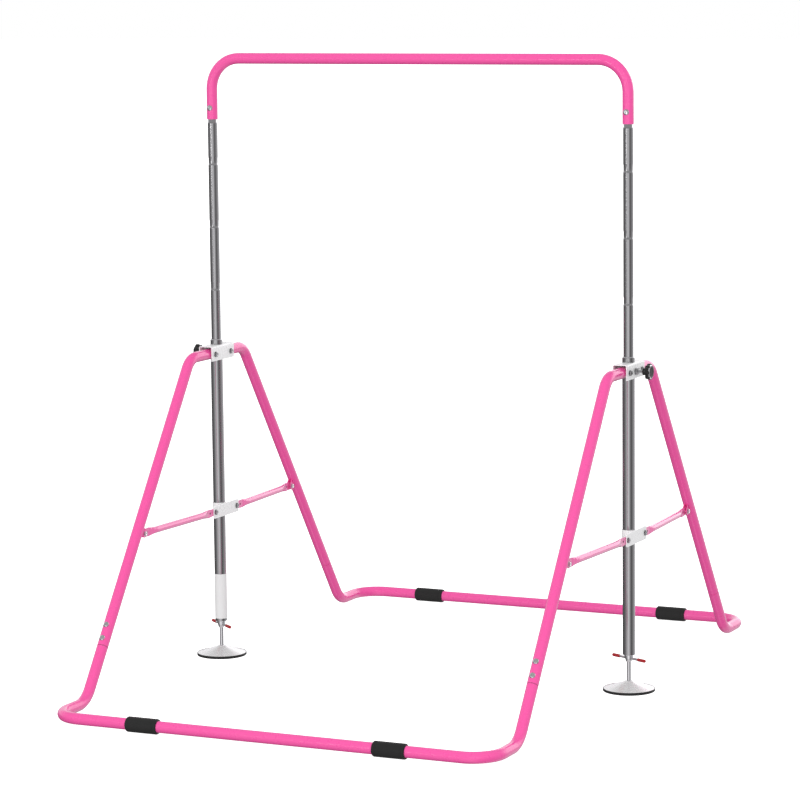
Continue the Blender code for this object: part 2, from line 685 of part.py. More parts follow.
def make_foot_rubber(label, side, finishes):
    """Rubber tyre round the foot's rim, which is all that meets the floor."""
    start = Vector((upright_x(side), 0, 0))
    outer, lip = FOOT_RADIUS, FOOT_RADIUS - 0.0011
    profile = [(0, outer - 0.012), (0, outer - 0.001), (0.001, outer), (0.0070, outer), (0.0070, lip),
               (0.0032, lip), (0.0032, outer - 0.012)]
    rubber = finishes["black_rubber"]
    return turned("foot_rubber_" + label, start, Z_AXIS, profile, rubber, FOOT_SIDES, closed=True)


# Assembly ----------------------------------------------------------------------


def hang(body, place, items):
    """Parent a body's pieces to an empty on its joint's axis."""
    anchor = bpy.data.objects.new("body_" + body, None)
    bpy.context.scene.collection.objects.link(anchor)
    anchor.location = place
    to_anchor = Matrix.Translation(place).inverted()
    for item in items:
        item.parent = anchor
        item.matrix_parent_inverse = to_anchor


def build_bar(finishes):
    bar = make_top_bar(finishes)
    drill(bar, bar_screw_hole(-1) + bar_screw_hole(1))
    items = [bar]
    for label, side in SIDES.items():
        upper = make_upper_tube(label, side, finishes)
        drill(upper, bar_screw_hole(side))
        items += [upper, make_bar_screw(label, side, finishes)]
    hang("top", Vector((0, 0, BAR_HEIGHT)), items)


def build_uprights(finishes):
    items = []
    for label, side in SIDES.items():
        lower = make_lower_tube(label, side, finishes)
        drill(lower, clamp_hole(side))
        items += [lower, make_tube_plug(label, side, finishes), make_bracket(label, side, finishes)]
        for end_label, end in ENDS.items():
            name = "pivot_bolt_{}_{}".format(end_label, label)
            items.append(through_bolt(name, leg_pivot(side, end), X_AXIS, BRACKET_HALF_WIDTH,
                                      PIVOT_BOLT_RADIUS, PIVOT_HEAD_RADIUS, PIVOT_HEAD_HEIGHT,
                                      finishes["bright_zinc"]))
        knob = [make_knob(label, side, finishes), make_knob_screw(label, side, finishes)]
        hang("knob_" + label, Vector((upright_x(side), 0, PIVOT_Z)), knob)
    hang("uprights", Vector((0, 0, 0)), items)


def build_leg_frames(finishes):
    for end_label, end in ENDS.items():
        items = [make_base_frame(end_label, end, finishes)]
        for label, side in SIDES.items():
            name = "{}_{}".format(end_label, label)
            items.append(make_leg(name, side, end, finishes))
            items.append(make_grip(name, side, end_label, end, finishes))
            for place, height in zip(("lower", "upper"), screw_heights()):
                items.append(make_joint_screw(name + "_" + place, side, end, height, finishes))
            items.append(through_bolt("lug_bolt_" + name, lug_pin(side, end), X_AXIS, LUG_HALF_WIDTH,
                                      STRUT_BOLT_RADIUS, LUG_HEAD_RADIUS, 0.004, finishes["bright_zinc"]))
        hang(end_label + "_frame", Vector((0, end * PIVOT_Y, PIVOT_Z)), items)


def build_stays(finishes):
    for label, side in SIDES.items():
        collar = [make_collar(label, side, finishes)]
        for end_label, end in ENDS.items():
            name = "{}_{}".format(end_label, label)
            collar.append(make_ear_bolt(name, side, end, finishes))
            hang("strut_" + name, lug_pin(side, end), [make_strut(name, side, end, finishes)])
        hang("collar_" + label, Vector((upright_x(side), 0, COLLAR_Z)), collar)


def build_feet(finishes):
    for label, side in SIDES.items():
        place = Vector((upright_x(side), 0, 0))
        hang("foot_" + label, place,
             [make_foot_cone(label, side, finishes), make_foot_rubber(label, side, finishes)])
        hang("handle_" + label, place + Z_AXIS * (HUB_TOP + HUB_BOTTOM) / 2,
             [make_jack_screw(label, side, finishes), make_handle_bar(label, side, finishes)])


def main():
    clear_scene()
    finishes = make_finishes()
    build_bar(finishes)
    build_uprights(finishes)
    build_leg_frames(finishes)
    build_stays(finishes)
    build_feet(finishes)


main()
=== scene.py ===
"""Looks for the kip bar: smooth tubes, hardware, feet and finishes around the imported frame."""

from __future__ import annotations

import logging
import math
from dataclasses import dataclass, field
from enum import Enum

import bmesh
import bpy
from mathutils import Matrix, Vector

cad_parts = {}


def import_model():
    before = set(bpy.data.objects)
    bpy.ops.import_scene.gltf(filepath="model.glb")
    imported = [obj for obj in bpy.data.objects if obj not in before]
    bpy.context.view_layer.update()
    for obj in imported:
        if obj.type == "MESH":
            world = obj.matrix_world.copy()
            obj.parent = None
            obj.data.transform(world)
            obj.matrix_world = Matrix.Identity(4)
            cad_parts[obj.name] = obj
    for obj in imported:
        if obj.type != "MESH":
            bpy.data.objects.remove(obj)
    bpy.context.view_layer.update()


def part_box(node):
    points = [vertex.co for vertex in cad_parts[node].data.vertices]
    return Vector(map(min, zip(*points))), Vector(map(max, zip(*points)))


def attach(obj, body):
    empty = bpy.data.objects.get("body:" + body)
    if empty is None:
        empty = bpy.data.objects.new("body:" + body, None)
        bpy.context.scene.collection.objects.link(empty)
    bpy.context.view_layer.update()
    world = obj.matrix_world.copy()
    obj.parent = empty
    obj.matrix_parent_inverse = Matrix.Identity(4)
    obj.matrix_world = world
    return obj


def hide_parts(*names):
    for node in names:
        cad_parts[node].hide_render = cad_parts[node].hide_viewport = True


LOG = logging.getLogger("kip_bar")
X_AXIS = Vector((1, 0, 0))
Y_AXIS = Vector((0, 1, 0))
Z_AXIS = Vector((0, 0, 1))
TUBE_SIDES = 56
BOLT_SIDES = 24
CLEARANCE = 0.0003
BROKEN_EDGE = 0.0003
SHARP_ANGLE = math.radians(38)
WHITE = (1, 1, 1, 1)

Piece = bpy.types.Object
Tree = bpy.types.NodeTree
Socket = bpy.types.NodeSocket
Ring = list[Vector]
Profile = list[tuple[float, float]]
HexSections = list[tuple[float, float, int]]
Place = tuple[Vector, Vector]


class Labelled(Enum):
    """A place whose name is also its word in node names."""

    @property
    def label(self) -> str:
        """The word in node names."""
        return self.name.lower()


class Side(Labelled):
    """Which upright a piece belongs to."""

    LEFT = -1
    RIGHT = 1


class End(Labelled):
    """Which leg frame a piece belongs to."""

    FRONT = -1
    REAR = 1


class Slot(Enum):
    """The record's material slots."""

    PINK = "pink_coat"
    CHROME = "chrome"
    ZINC = "bright_zinc"
    PLASTIC = "black_plastic"
    RUBBER = "black_rubber"


# Nodes -------------------------------------------------------------------------


def feed(tree: Tree, node: bpy.types.Node, inputs: dict) -> bpy.types.Node:
    """Fill or link a node's inputs.

    Args:
        tree: The node's tree.
        node: The node.
        inputs: Input name or number, to a value or to the socket that feeds it.

    Returns:
        The node.
    """
    for key, value in inputs.items():
        if isinstance(value, Socket):
            tree.links.new(value, node.inputs[key])
        else:
            node.inputs[key].default_value = value
    return node


def wire(tree: Tree, kind: str, inputs: dict | None = None, **settings: object) -> bpy.types.Node:
    """Add a node with its settings, then fill or link its inputs.

    Args:
        tree: The tree to add to.
        kind: The node's type.
        inputs: As for feed.
        settings: Properties of the node itself.

    Returns:
        The node.
    """
    node = tree.nodes.new(kind)
    for key, value in settings.items():
        setattr(node, key, value)
    return feed(tree, node, inputs or {})


def map_range(tree: Tree, value: Socket, source: tuple[float, float],
              target: tuple[float, float] = (0.0, 1.0)) -> Socket:
    """Stretch a value from one range to another, clamped at both ends.

    Args:
        tree: The tree to add to.
        value: The value.
        source: Its range.
        target: The range wanted.

    Returns:
        The stretched value.
    """
    limits = dict(zip(("From Min", "From Max", "To Min", "To Max"), (*source, *target)))
    return wire(tree, "ShaderNodeMapRange", {"Value": value, **limits}).outputs["Result"]


# Finishes ----------------------------------------------------------------------


@dataclass(frozen=True)
class Finish:
    """A surface finish with slow clouding, a fine grain and uneven gloss.

    Lengths in the scales are cells per metre of the object's own coordinates.
    """

    name: str
    slot: Slot
    colour: tuple[float, float, float]
    shade: tuple[float, float, float]
    metallic: float = 0.0
    roughness: tuple[float, float] = (0.3, 0.4)
    cloud_scale: float = 9.0
    smear_ratio: float = 5.3
    grain_scale: float = 500.0
    grain_depth: float = 0.00005
    stretch: tuple[float, float, float] = (1.0, 1.0, 1.0)
    coat: float = 0.0
    coat_roughness: float = 0.1
    specular: float = 0.5

    def material(self) -> bpy.types.Material:
        """Build the node material, or return the one already built.

        Returns:
            The finish's material.
        """
        made = bpy.data.materials.get(self.name)
        if made:
            return made
        made = bpy.data.materials.new(self.name)
        made.use_nodes = True
        tree = made.node_tree
        place = wire(tree, "ShaderNodeTexCoord").outputs["Object"]
        mapped = wire(tree, "ShaderNodeMapping", {"Vector": place, "Scale": self.stretch}).outputs["Vector"]
        cloud = self._noise(tree, mapped, self.cloud_scale, 4.0)
        smear = self._noise(tree, mapped, self.cloud_scale * self.smear_ratio, 6.0)
        grain = self._noise(tree, mapped, self.grain_scale, 3.0)
        colours = {"A": (*self.colour, 1.0), "B": (*self.shade, 1.0)}
        tint = wire(tree, "ShaderNodeMix", {"Factor": cloud, **colours}, data_type="RGBA")
        bump = wire(tree, "ShaderNodeBump", {"Distance": self.grain_depth, "Height": grain})
        feed(tree, tree.nodes["Principled BSDF"], {
            "Metallic": self.metallic, "Coat Weight": self.coat, "Coat Roughness": self.coat_roughness,
            "Specular IOR Level": self.specular, "Base Color": tint.outputs["Result"],
            "Roughness": map_range(tree, smear, (0.3, 0.7), self.roughness),
            "Normal": bump.outputs["Normal"]})
        return made

    @staticmethod
    def _noise(tree: Tree, mapped: Socket, scale: float,
               detail: float) -> Socket:
        """Add a noise texture on the mapped object coordinates.

        Args:
            tree: The material's tree.
            mapped: The coordinates.
            scale: Cells per metre.
            detail: Octaves.

        Returns:
            The noise.
        """
        inputs = {"Vector": mapped, "Scale": scale, "Detail": detail}
        return wire(tree, "ShaderNodeTexNoise", inputs).outputs["Fac"]


PINK_COAT = Finish("pink powder coat", Slot.PINK, (0.915, 0.090, 0.378), (0.900, 0.085, 0.366),
                   roughness=(0.26, 0.30), grain_scale=900.0, grain_depth=0.000006, coat=0.6,
                   coat_roughness=0.12, specular=0.5)
# The struts' pink: its stronger coat and specular are real gloss, and its colour, lighter than the legs'
# pink, is a painted highlight for the bright reflection along the struts.
STAY_COAT_WITH_PAINTED_HIGHLIGHT = Finish("glossier pink coat", Slot.PINK, (0.915, 0.160, 0.440), (0.900, 0.148, 0.425),
                   roughness=(0.22, 0.26), grain_scale=900.0, grain_depth=0.000004, coat=1.0,
                   coat_roughness=0.09, specular=0.7)
CHROME = Finish("chromed tube", Slot.CHROME, (0.50, 0.50, 0.505), (0.47, 0.47, 0.478), metallic=1.0,
                roughness=(0.12, 0.16), cloud_scale=20.0, grain_scale=300.0, grain_depth=0.000001,
                stretch=(1.0, 1.0, 0.05))
ZINC = Finish("bright zinc plate", Slot.ZINC, (0.86, 0.86, 0.87), (0.78, 0.78, 0.80), metallic=1.0,
              roughness=(0.13, 0.21), cloud_scale=35.0, grain_scale=1200.0, grain_depth=0.000003)
DARK_ZINC = Finish("dull zinc bolts", Slot.ZINC, (0.44, 0.44, 0.45), (0.34, 0.34, 0.35), metallic=1.0,
                   roughness=(0.20, 0.32), cloud_scale=60.0, grain_scale=1200.0, grain_depth=0.000004)
BRIGHT_PLATE = Finish("bright plated sheet", Slot.ZINC, (0.95, 0.95, 0.955), (0.92, 0.92, 0.93),
                      metallic=0.12, roughness=(0.24, 0.32), cloud_scale=30.0, grain_scale=1200.0,
                      grain_depth=0.000002)
SPUN_STEEL = Finish("spun foot steel", Slot.ZINC, (0.92, 0.92, 0.92), (0.88, 0.88, 0.89), metallic=0.55,
                    roughness=(0.22, 0.30), cloud_scale=25.0, grain_scale=700.0, grain_depth=0.000002)
BLACK_PLASTIC = Finish("moulded black plastic", Slot.PLASTIC, (0.010, 0.011, 0.011), (0.017, 0.018, 0.018),
                       roughness=(0.14, 0.22), grain_scale=1600.0, grain_depth=0.00001)
BLACK_RUBBER = Finish("black rubber", Slot.RUBBER, (0.014, 0.014, 0.014), (0.022, 0.022, 0.022),
                      roughness=(0.46, 0.60), grain_scale=1500.0, grain_depth=0.00006, specular=0.3)
RED_VINYL = Finish("dipped red vinyl", Slot.PLASTIC, (0.420, 0.012, 0.016), (0.330, 0.008, 0.012),
                   roughness=(0.28, 0.40), grain_scale=1100.0, grain_depth=0.00004)
WHITE_LABEL = Finish("blank white label", Slot.PLASTIC, (0.80, 0.80, 0.80), (0.76, 0.76, 0.77),
                     roughness=(0.40, 0.50), grain_scale=1800.0, grain_depth=0.00001)


# Mesh making -------------------------------------------------------------------


def arc(first: float, last: float, steps: int) -> list[float]:
    """List evenly spaced angles.

    Args:
        first: First angle in degrees.
        last: Last angle in degrees.
        steps: Number of steps from one to the other.

    Returns:
        The angles in radians.
    """
    return [math.radians(first + (last - first) * step / steps) for step in range(steps + 1)]


def cross_axes(direction: Vector) -> tuple[Vector, Vector]:
    """Find two axes square to a direction.

    Args:
        direction: A unit vector.

    Returns:
        Two unit vectors, square to the direction and to each other.
    """
    helper = Z_AXIS if abs(direction.dot(Z_AXIS)) < 0.9 else Y_AXIS
    across = direction.cross(helper).normalized()
    return across, across.cross(direction).normalized()


def polar(axes: tuple[Vector, Vector], turn: float, reach: float) -> Vector:
    """Step out from an axis.

    Args:
        axes: The two axes that the angle is measured between.
        turn: The angle in radians.
        reach: The distance.

    Returns:
        The step.
    """
    return (axes[0] * math.cos(turn) + axes[1] * math.sin(turn)) * reach


def section(centre: Vector, across: Vector, up: Vector, half_across: float, half_up: float,
            sides: int, power: float = 2.0) -> Ring:
    """Make the points round a section, elliptical or squarer.

    Args:
        centre: Middle of the section.
        across: First axis.
        up: Second axis.
        half_across: Half width along the first axis.
        half_up: Half width along the second axis.
        sides: Number of points.
        power: 2 for an ellipse, more for squarer corners.

    Returns:
        The points in order.
    """
    points = []
    for index in range(sides):
        turn = 2 * math.pi * index / sides
        cosine, sine = math.cos(turn), math.sin(turn)
        run = math.copysign(abs(cosine) ** (2 / power), cosine) * half_across
        rise = math.copysign(abs(sine) ** (2 / power), sine) * half_up
        points.append(centre + across * run + up * rise)
    return points


def add_object(name: str, data: bpy.types.ID) -> Piece:
    """Put a new object in the scene.

    Args:
        name: Its name.
        data: Its mesh, camera or light.

    Returns:
        The object.
    """
    made = bpy.data.objects.new(name, data)
    bpy.context.scene.collection.objects.link(made)
    return made


def crisp(piece: Piece) -> Piece:
    """Shade a piece smooth, with its steep edges sharp.

    Args:
        piece: The piece, changed in place.

    Returns:
        The piece.
    """
    piece.data.shade_smooth()
    piece.data.set_sharp_from_angle(angle=SHARP_ANGLE)
    return piece


def loft(name: str, rings: list[Ring], closed: bool = False) -> Piece:
    """Make one piece by joining neighbouring rings with faces that look outwards.

    Args:
        name: Object name.
        rings: Rings of equal length. The end rings are filled unless the skin is closed.
        closed: Join the last ring to the first, as round a tube wall.

    Returns:
        The new object.
    """
    shape = bmesh.new()
    loops = [[shape.verts.new(point) for point in ring] for ring in rings]
    for first, second in list(zip(loops, loops[1:])) + ([(loops[-1], loops[0])] if closed else []):
        for index, vertex in enumerate(first):
            after = (index + 1) % len(first)
            shape.faces.new((vertex, first[after], second[after], second[index]))
    if not closed:
        shape.faces.new(loops[0])
        shape.faces.new(loops[-1])
    bmesh.ops.recalc_face_normals(shape, faces=shape.faces)
    mesh = bpy.data.meshes.new(name)
    shape.to_mesh(mesh)
    shape.free()
    return crisp(add_object(name, mesh))


def lathe(name: str, start: Vector, axis: Vector, profile: Profile, sides: int = TUBE_SIDES,
          closed: bool = False) -> Piece:
    """Turn a profile about an axis.

    Args:
        name: Object name.
        start: Where distances along the axis begin.
        axis: Unit direction of the axis.
        profile: Distance along the axis and radius, in order along the skin.
        sides: Number of facets round.
        closed: The profile closes on itself, as a ring's does.

    Returns:
        The new object.
    """
    across, up = cross_axes(axis)
    rings = [section(start + axis * run, across, up, radius, radius, sides) for run, radius in profile]
    return loft(name, rings, closed)


def hex_loft(name: str, start: Vector, axis: Vector, sections: HexSections,
             closed: bool = False) -> Piece:
    """Loft a fastener through round and hexagonal sections.

    Args:
        name: Object name.
        start: Where distances along the axis begin.
        axis: Unit direction of the axis.
        sections: Distance, radius to a corner, and number of corners or 0 for a circle.
        closed: The sections close on themselves.

    Returns:
        The new object.
    """
    axes = cross_axes(axis)
    rings = []
    for run, radius, corners in sections:
        ring = []
        for index in range(BOLT_SIDES):
            turn = 2 * math.pi * index / BOLT_SIDES
            reach = radius
            if corners:
                share = math.pi / corners
                reach *= math.cos(share) / math.cos(turn % (2 * share) - share)
            ring.append(start + axis * run + polar(axes, turn, reach))
        rings.append(ring)
    return loft(name, rings, closed)


def rounded_path(corners: list[Vector], radius: float, steps: int = 14) -> list[Vector]:
    """Round the inner corners of a centreline.

    Args:
        corners: Ends and corners in order.
        radius: Bend radius at each inner corner.
        steps: Segments in each bend.

    Returns:
        The points of the rounded centreline.
    """
    points = [corners[0]]
    for before, corner, after in zip(corners, corners[1:], corners[2:]):
        incoming = (corner - before).normalized()
        outgoing = (after - corner).normalized()
        turn = incoming.angle(outgoing)
        start = corner - incoming * radius * math.tan(turn / 2)
        centre = corner + (outgoing - incoming).normalized() * radius / math.cos(turn / 2)
        spin = incoming.cross(outgoing).normalized()
        for step in range(steps + 1):
            points.append(centre + Matrix.Rotation(turn * step / steps, 3, spin) @ (start - centre))
    points.append(corners[-1])
    return points


def plain_mesh(piece: Piece) -> Piece:
    """Bake an object's modifiers into its mesh.

    Args:
        piece: The object, changed in place.

    Returns:
        The same object.
    """
    view = bpy.context.evaluated_depsgraph_get()
    baked = bpy.data.meshes.new_from_object(piece.evaluated_get(view), depsgraph=view)
    piece.modifiers.clear()
    piece.data = baked
    return piece


def carve(piece: Piece, tool: Piece, operation: str = "DIFFERENCE") -> Piece:
    """Cut a tool's shape out of a piece, or add it, and drop the tool.

    Args:
        piece: The piece, changed in place.
        tool: The tool, removed here.
        operation: DIFFERENCE or UNION.

    Returns:
        The piece.
    """
    step = piece.modifiers.new("carve", "BOOLEAN")
    step.operation = operation
    step.object = tool
    plain_mesh(piece)
    bpy.data.objects.remove(tool, do_unlink=True)
    return crisp(piece)


# Geometry Nodes ----------------------------------------------------------------


class GrowTree:
    """A Geometry Nodes tree while it is being wired up."""

    def __init__(self, name: str, **sockets: str) -> None:
        """Start a tree with named inputs.

        Args:
            name: The tree's name.
            sockets: Input name to its type, such as Float.
        """
        self.tree = bpy.data.node_groups.new(name, "GeometryNodeTree")
        self.tree.interface.new_socket("Geometry", in_out="OUTPUT", socket_type="NodeSocketGeometry")
        entry = self.tree.nodes.new("NodeGroupInput")
        for label, kind in sockets.items():
            self.tree.interface.new_socket(label, in_out="INPUT", socket_type="NodeSocket" + kind)
        self.inputs = entry.outputs

    def node(self, kind: str, inputs: dict | None = None, **settings: object) -> bpy.types.NodeOutputs:
        """Add a node, as wire does.

        Args:
            kind: The node's type.
            inputs: As for feed.
            settings: Properties of the node itself.

        Returns:
            The node's outputs.
        """
        return wire(self.tree, kind, inputs, **settings).outputs

    def end(self, geometry: Socket) -> Tree:
        """Close the tree with real meshes that carry the finish.

        Args:
            geometry: What the tree has made.

        Returns:
            The finished tree.
        """
        real = self.node("GeometryNodeRealizeInstances", {"Geometry": geometry})
        smooth = self.node("GeometryNodeSetShadeSmooth", {"Geometry": real[0]})
        finish = self.inputs["Finish"]
        dressed = self.node("GeometryNodeSetMaterial", {"Geometry": smooth[0], "Material": finish})
        self.node("NodeGroupOutput", {0: dressed[0]})
        return self.tree


def grow(name: str, base: bpy.types.Mesh, tree: Tree, values: dict[str, object]) -> Piece:
    """Run a tree on a base mesh and keep the result as a plain mesh.

    Args:
        name: Object name.
        base: The mesh that the tree starts from.
        tree: The Geometry Nodes tree.
        values: Input name to value.

    Returns:
        The new object, without the modifier.
    """
    piece = add_object(name, base)
    step = piece.modifiers.new("grow", "NODES")
    step.node_group = tree
    for item in tree.interface.items_tree:
        if item.in_out == "INPUT" and item.name in values:
            step[item.identifier] = values[item.name]
    piece.update_tag()
    bpy.context.view_layer.update()
    return plain_mesh(piece)


def tube_tree() -> Tree:
    """Build the tree that sweeps a round tube along a path of edges.

    Returns:
        The tree, with inputs for the facets and the material.
    """
    made = bpy.data.node_groups.get("swept tube")
    if made:
        return made
    build = GrowTree("swept tube", Path="Geometry", Facets="Int", Finish="Material")
    stored = build.node("GeometryNodeInputNamedAttribute", {"Name": "tube_radius"}, data_type="FLOAT")
    width, facets = stored["Attribute"], build.inputs["Facets"]
    curve = build.node("GeometryNodeMeshToCurve", {"Mesh": build.inputs["Path"]})
    circle = build.node("GeometryNodeCurvePrimitiveCircle", {"Resolution": facets, "Radius": 1.0})
    sized = build.node("GeometryNodeSetCurveRadius", {"Curve": curve[0], "Radius": width})
    sweep = wire(build.tree, "GeometryNodeCurveToMesh", {"Curve": sized[0], "Profile Curve": circle[0]})
    if "Scale" in sweep.inputs:
        feed(build.tree, sweep, {"Scale": width})
    return build.end(sweep.outputs[0])


def swept_tube(name: str, path: list[Vector], radius: float, wall: float, finish: Finish) -> Piece:
    """Make an open-ended tube with a real wall along a path.

    Args:
        name: Object name.
        path: Centreline points.
        radius: Outer radius.
        wall: Wall thickness.
        finish: Its surface finish.

    Returns:
        The tube.
    """
    line = bpy.data.meshes.new(name)
    line.from_pydata([tuple(point) for point in path], [(i, i + 1) for i in range(len(path) - 1)], [])
    line.attributes.new("tube_radius", "FLOAT", "POINT").data.foreach_set("value", [radius] * len(path))
    piece = grow(name, line, tube_tree(), {"Facets": TUBE_SIDES, "Finish": finish.material()})
    shape = bmesh.new()
    shape.from_mesh(piece.data)
    bmesh.ops.recalc_face_normals(shape, faces=shape.faces)
    face = shape.faces[0]
    centre = face.calc_center_median()
    nearest = min(path, key=lambda point: (point - centre).length)
    if face.normal.dot(centre - nearest) < 0:
        bmesh.ops.reverse_faces(shape, faces=shape.faces)
    shape.to_mesh(piece.data)
    shape.free()
    shell = piece.modifiers.new("wall", "SOLIDIFY")
    shell.thickness = wall
    shell.offset = -1.0
    shell.use_even_offset = True
    plain_mesh(piece)
    for attribute in [item for item in piece.data.attributes if item.name == "tube_radius"]:
        piece.data.attributes.remove(attribute)
    return crisp(piece)


def fastener_tree() -> Tree:
    """Build the tree that sets one fastener on every point, turned along the point's direction.

    Returns:
        The tree, with inputs for the fastener and the material.
    """
    made = bpy.data.node_groups.get("fasteners on points")
    if made:
        return made
    build = GrowTree("fasteners on points", Points="Geometry", Fastener="Object", Finish="Material")
    facing = build.node("GeometryNodeInputNamedAttribute", {"Name": "facing"}, data_type="FLOAT_VECTOR")
    turn = build.node("FunctionNodeAlignRotationToVector", {"Vector": facing["Attribute"]}, axis="Z")
    shape = build.node("GeometryNodeObjectInfo", {"Object": build.inputs["Fastener"]})
    placed = build.node("GeometryNodeInstanceOnPoints", {
        "Points": build.inputs["Points"], "Instance": shape["Geometry"], "Rotation": turn["Rotation"]})
    return build.end(placed[0])


def dress(piece: Piece, finish: Finish, body: str, *nodes: str) -> Piece:
    """Give a piece its finish, its body and the CAD nodes that it stands for.

    Args:
        piece: The finished mesh object.
        finish: Its surface finish.
        body: The CAD body that it moves with.
        nodes: CAD nodes that it replaces.

    Returns:
        The piece.
    """
    piece.data.materials.clear()
    piece.data.materials.append(finish.material())
    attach(piece, body)
    if nodes:
        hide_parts(*nodes)
    LOG.info("%s on %s: %d faces", piece.name, body, len(piece.data.polygons))
    return piece


# Places ------------------------------------------------------------------------


def middle(node: str) -> Vector:
    """Find the middle of a CAD node's box."""
    low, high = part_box(node)
    return (low + high) / 2


@dataclass(frozen=True)
class Upright:
    """The vertical axis of one upright."""

    side: Side

    @property
    def x(self) -> float:
        """Where the axis crosses the X axis."""
        return middle("lower_tube_" + self.side.label).x

    @property
    def out(self) -> Vector:
        """Away from the other upright."""
        return X_AXIS * self.side.value

    def at(self, height: float) -> Vector:
        """A point on the axis."""
        return Vector((self.x, 0.0, height))


@dataclass
class UprightPart:
    """Something that an upright carries."""

    upright: Upright

    @property
    def tag(self) -> str:
        """The side's word in piece names."""
        return self.upright.side.label

    def turned(self, name: str, profile: Profile, sides: int = TUBE_SIDES, closed: bool = True) -> Piece:
        """Turn a piece about the upright's axis.

        Args:
            name: Piece name, without the side.
            profile: Height and radius, in order along the skin.
            sides: Number of facets round.
            closed: The profile closes on itself.

        Returns:
            The piece.
        """
        return lathe(f"{name}_{self.tag}", self.upright.at(0.0), Z_AXIS, profile, sides, closed)


@dataclass(frozen=True)
class LegLine:
    """The straight of a leg's centreline, which leans out towards the floor."""

    side: Side
    end: End
    slope: float = 0.7195
    reach: float = 0.692
    lug_drop: float = 0.026

    @property
    def name(self) -> str:
        """End and side, as in node names."""
        return self.end.label + "_" + self.side.label

    @property
    def lean(self) -> float:
        """Angle off the vertical."""
        return math.atan(self.slope)

    @property
    def outward(self) -> Vector:
        """Square off the leg, away from the upright and upwards."""
        return Vector((0, self.end.value * math.cos(self.lean), math.sin(self.lean)))

    @property
    def down(self) -> Vector:
        """Along the leg, towards the floor."""
        return Vector((0, self.end.value * math.sin(self.lean), -math.cos(self.lean)))

    @property
    def lug_pin(self) -> Vector:
        """The strut's pin in the leg's lug."""
        return middle("lug_bolt_" + self.name)

    @property
    def ear_pin(self) -> Vector:
        """The strut's pin in the collar's ear, on the upright's centre plane."""
        pin = middle("ear_bolt_" + self.name)
        return Vector((Upright(self.side).x, pin.y, pin.z))

    def at(self, height: float) -> Vector:
        """A point on the centreline."""
        return Vector((Upright(self.side).x, self.end.value * (self.reach - self.slope * height), height))


# Fasteners ---------------------------------------------------------------------


@dataclass(frozen=True)
class HexBolt:
    """A hexagon bolt with its washers and nut, which clamps a width along Z about the origin."""

    name: str
    half_grip: float
    shank: float
    head: float
    height: float
    washer: float = 0.0008
    washer_spread: float = 1.13
    washer_edge: float = 0.0002
    through: bool = True
    start: float = 0.0

    def pattern(self) -> Piece:
        """Build the bolt standing at the origin.

        Returns:
            The pattern, which is removed once it has been copied.
        """
        sections = self._head(self.half_grip + CLEARANCE)
        if self.through:
            sections = [(-run, radius, corners) for run, radius, corners in reversed(sections)] + sections
        else:
            sections = [(self.start, self.shank, 0)] + sections
        return hex_loft(self.name, Vector(), Z_AXIS, sections)

    def _head(self, face: float) -> HexSections:
        """List a washer and a chamfered head, from the face that they sit on."""
        disc, top = face + self.washer, face + self.height
        wide, flat = self.head * self.washer_spread, self.head * math.cos(math.pi / 6)
        edge, chamfer = self.washer_edge, self.head * 0.10
        return [(face, self.shank, 0), (face, wide - edge, 0), (face + edge, wide, 0),
                (disc - edge, wide, 0), (disc, wide - edge, 0), (disc, flat * 0.98, 0),
                (disc + 0.0003, self.head, 6), (top - chamfer, self.head, 6),
                (top - chamfer * 0.35, flat * 1.02, 0), (top, flat * 0.88, 0),
                (top, self.shank * 0.9, 0), (top - 0.0004, self.shank * 0.7, 0)]


@dataclass(frozen=True)
class ButtonScrew:
    """A domed screw with a hexagon socket, whose head sits above the origin along Z."""

    name: str
    face: float
    head: float
    height: float
    shank: float
    tip: float
    dome: float = 74.0
    socket: float = 0.42

    def pattern(self) -> Piece:
        """Build the screw standing at the origin.

        Returns:
            The pattern, which is removed once it has been copied.
        """
        sections = [(self.tip, self.shank * 0.7, 0), (self.tip + 0.0008, self.shank, 0),
                    (self.face, self.shank, 0), (self.face, self.head, 0)]
        socket, full = self.head * self.socket, math.sin(math.radians(self.dome))
        for turn in arc(0, self.dome, 6)[1:]:
            sections.append((self.face + self.height * math.sin(turn) / full,
                             max(self.head * math.cos(turn), socket * 1.12), 0))
        top = self.face + self.height
        sections += [(top, socket * 1.04, 6), (top - self.height * 0.55, socket, 6),
                     (top - self.height * 0.6, 0.0002, 0)]
        return hex_loft(self.name, Vector(), Z_AXIS, sections)


def set_fasteners(name: str, kind: HexBolt | ButtonScrew, places: list[Place], body: str, *nodes: str,
                  finish: Finish = ZINC) -> Piece:
    """Copy one fastener to its places and dress the result.

    Args:
        name: Piece name.
        kind: The fastener.
        places: Position and facing direction of each one.
        body: CAD body that they move with.
        nodes: CAD nodes that they stand for.
        finish: Their surface finish.

    Returns:
        The piece.
    """
    pattern = kind.pattern()
    dots = bpy.data.meshes.new(name)
    dots.from_pydata([tuple(place) for place, _ in places], [], [])
    facing = dots.attributes.new("facing", "FLOAT_VECTOR", "POINT")
    facing.data.foreach_set("vector", [value for _, way in places for value in way])
    piece = grow(name, dots, fastener_tree(), {"Fastener": pattern, "Finish": finish.material()})
    bpy.data.objects.remove(pattern, do_unlink=True)
    return dress(crisp(piece), finish, body, *nodes)


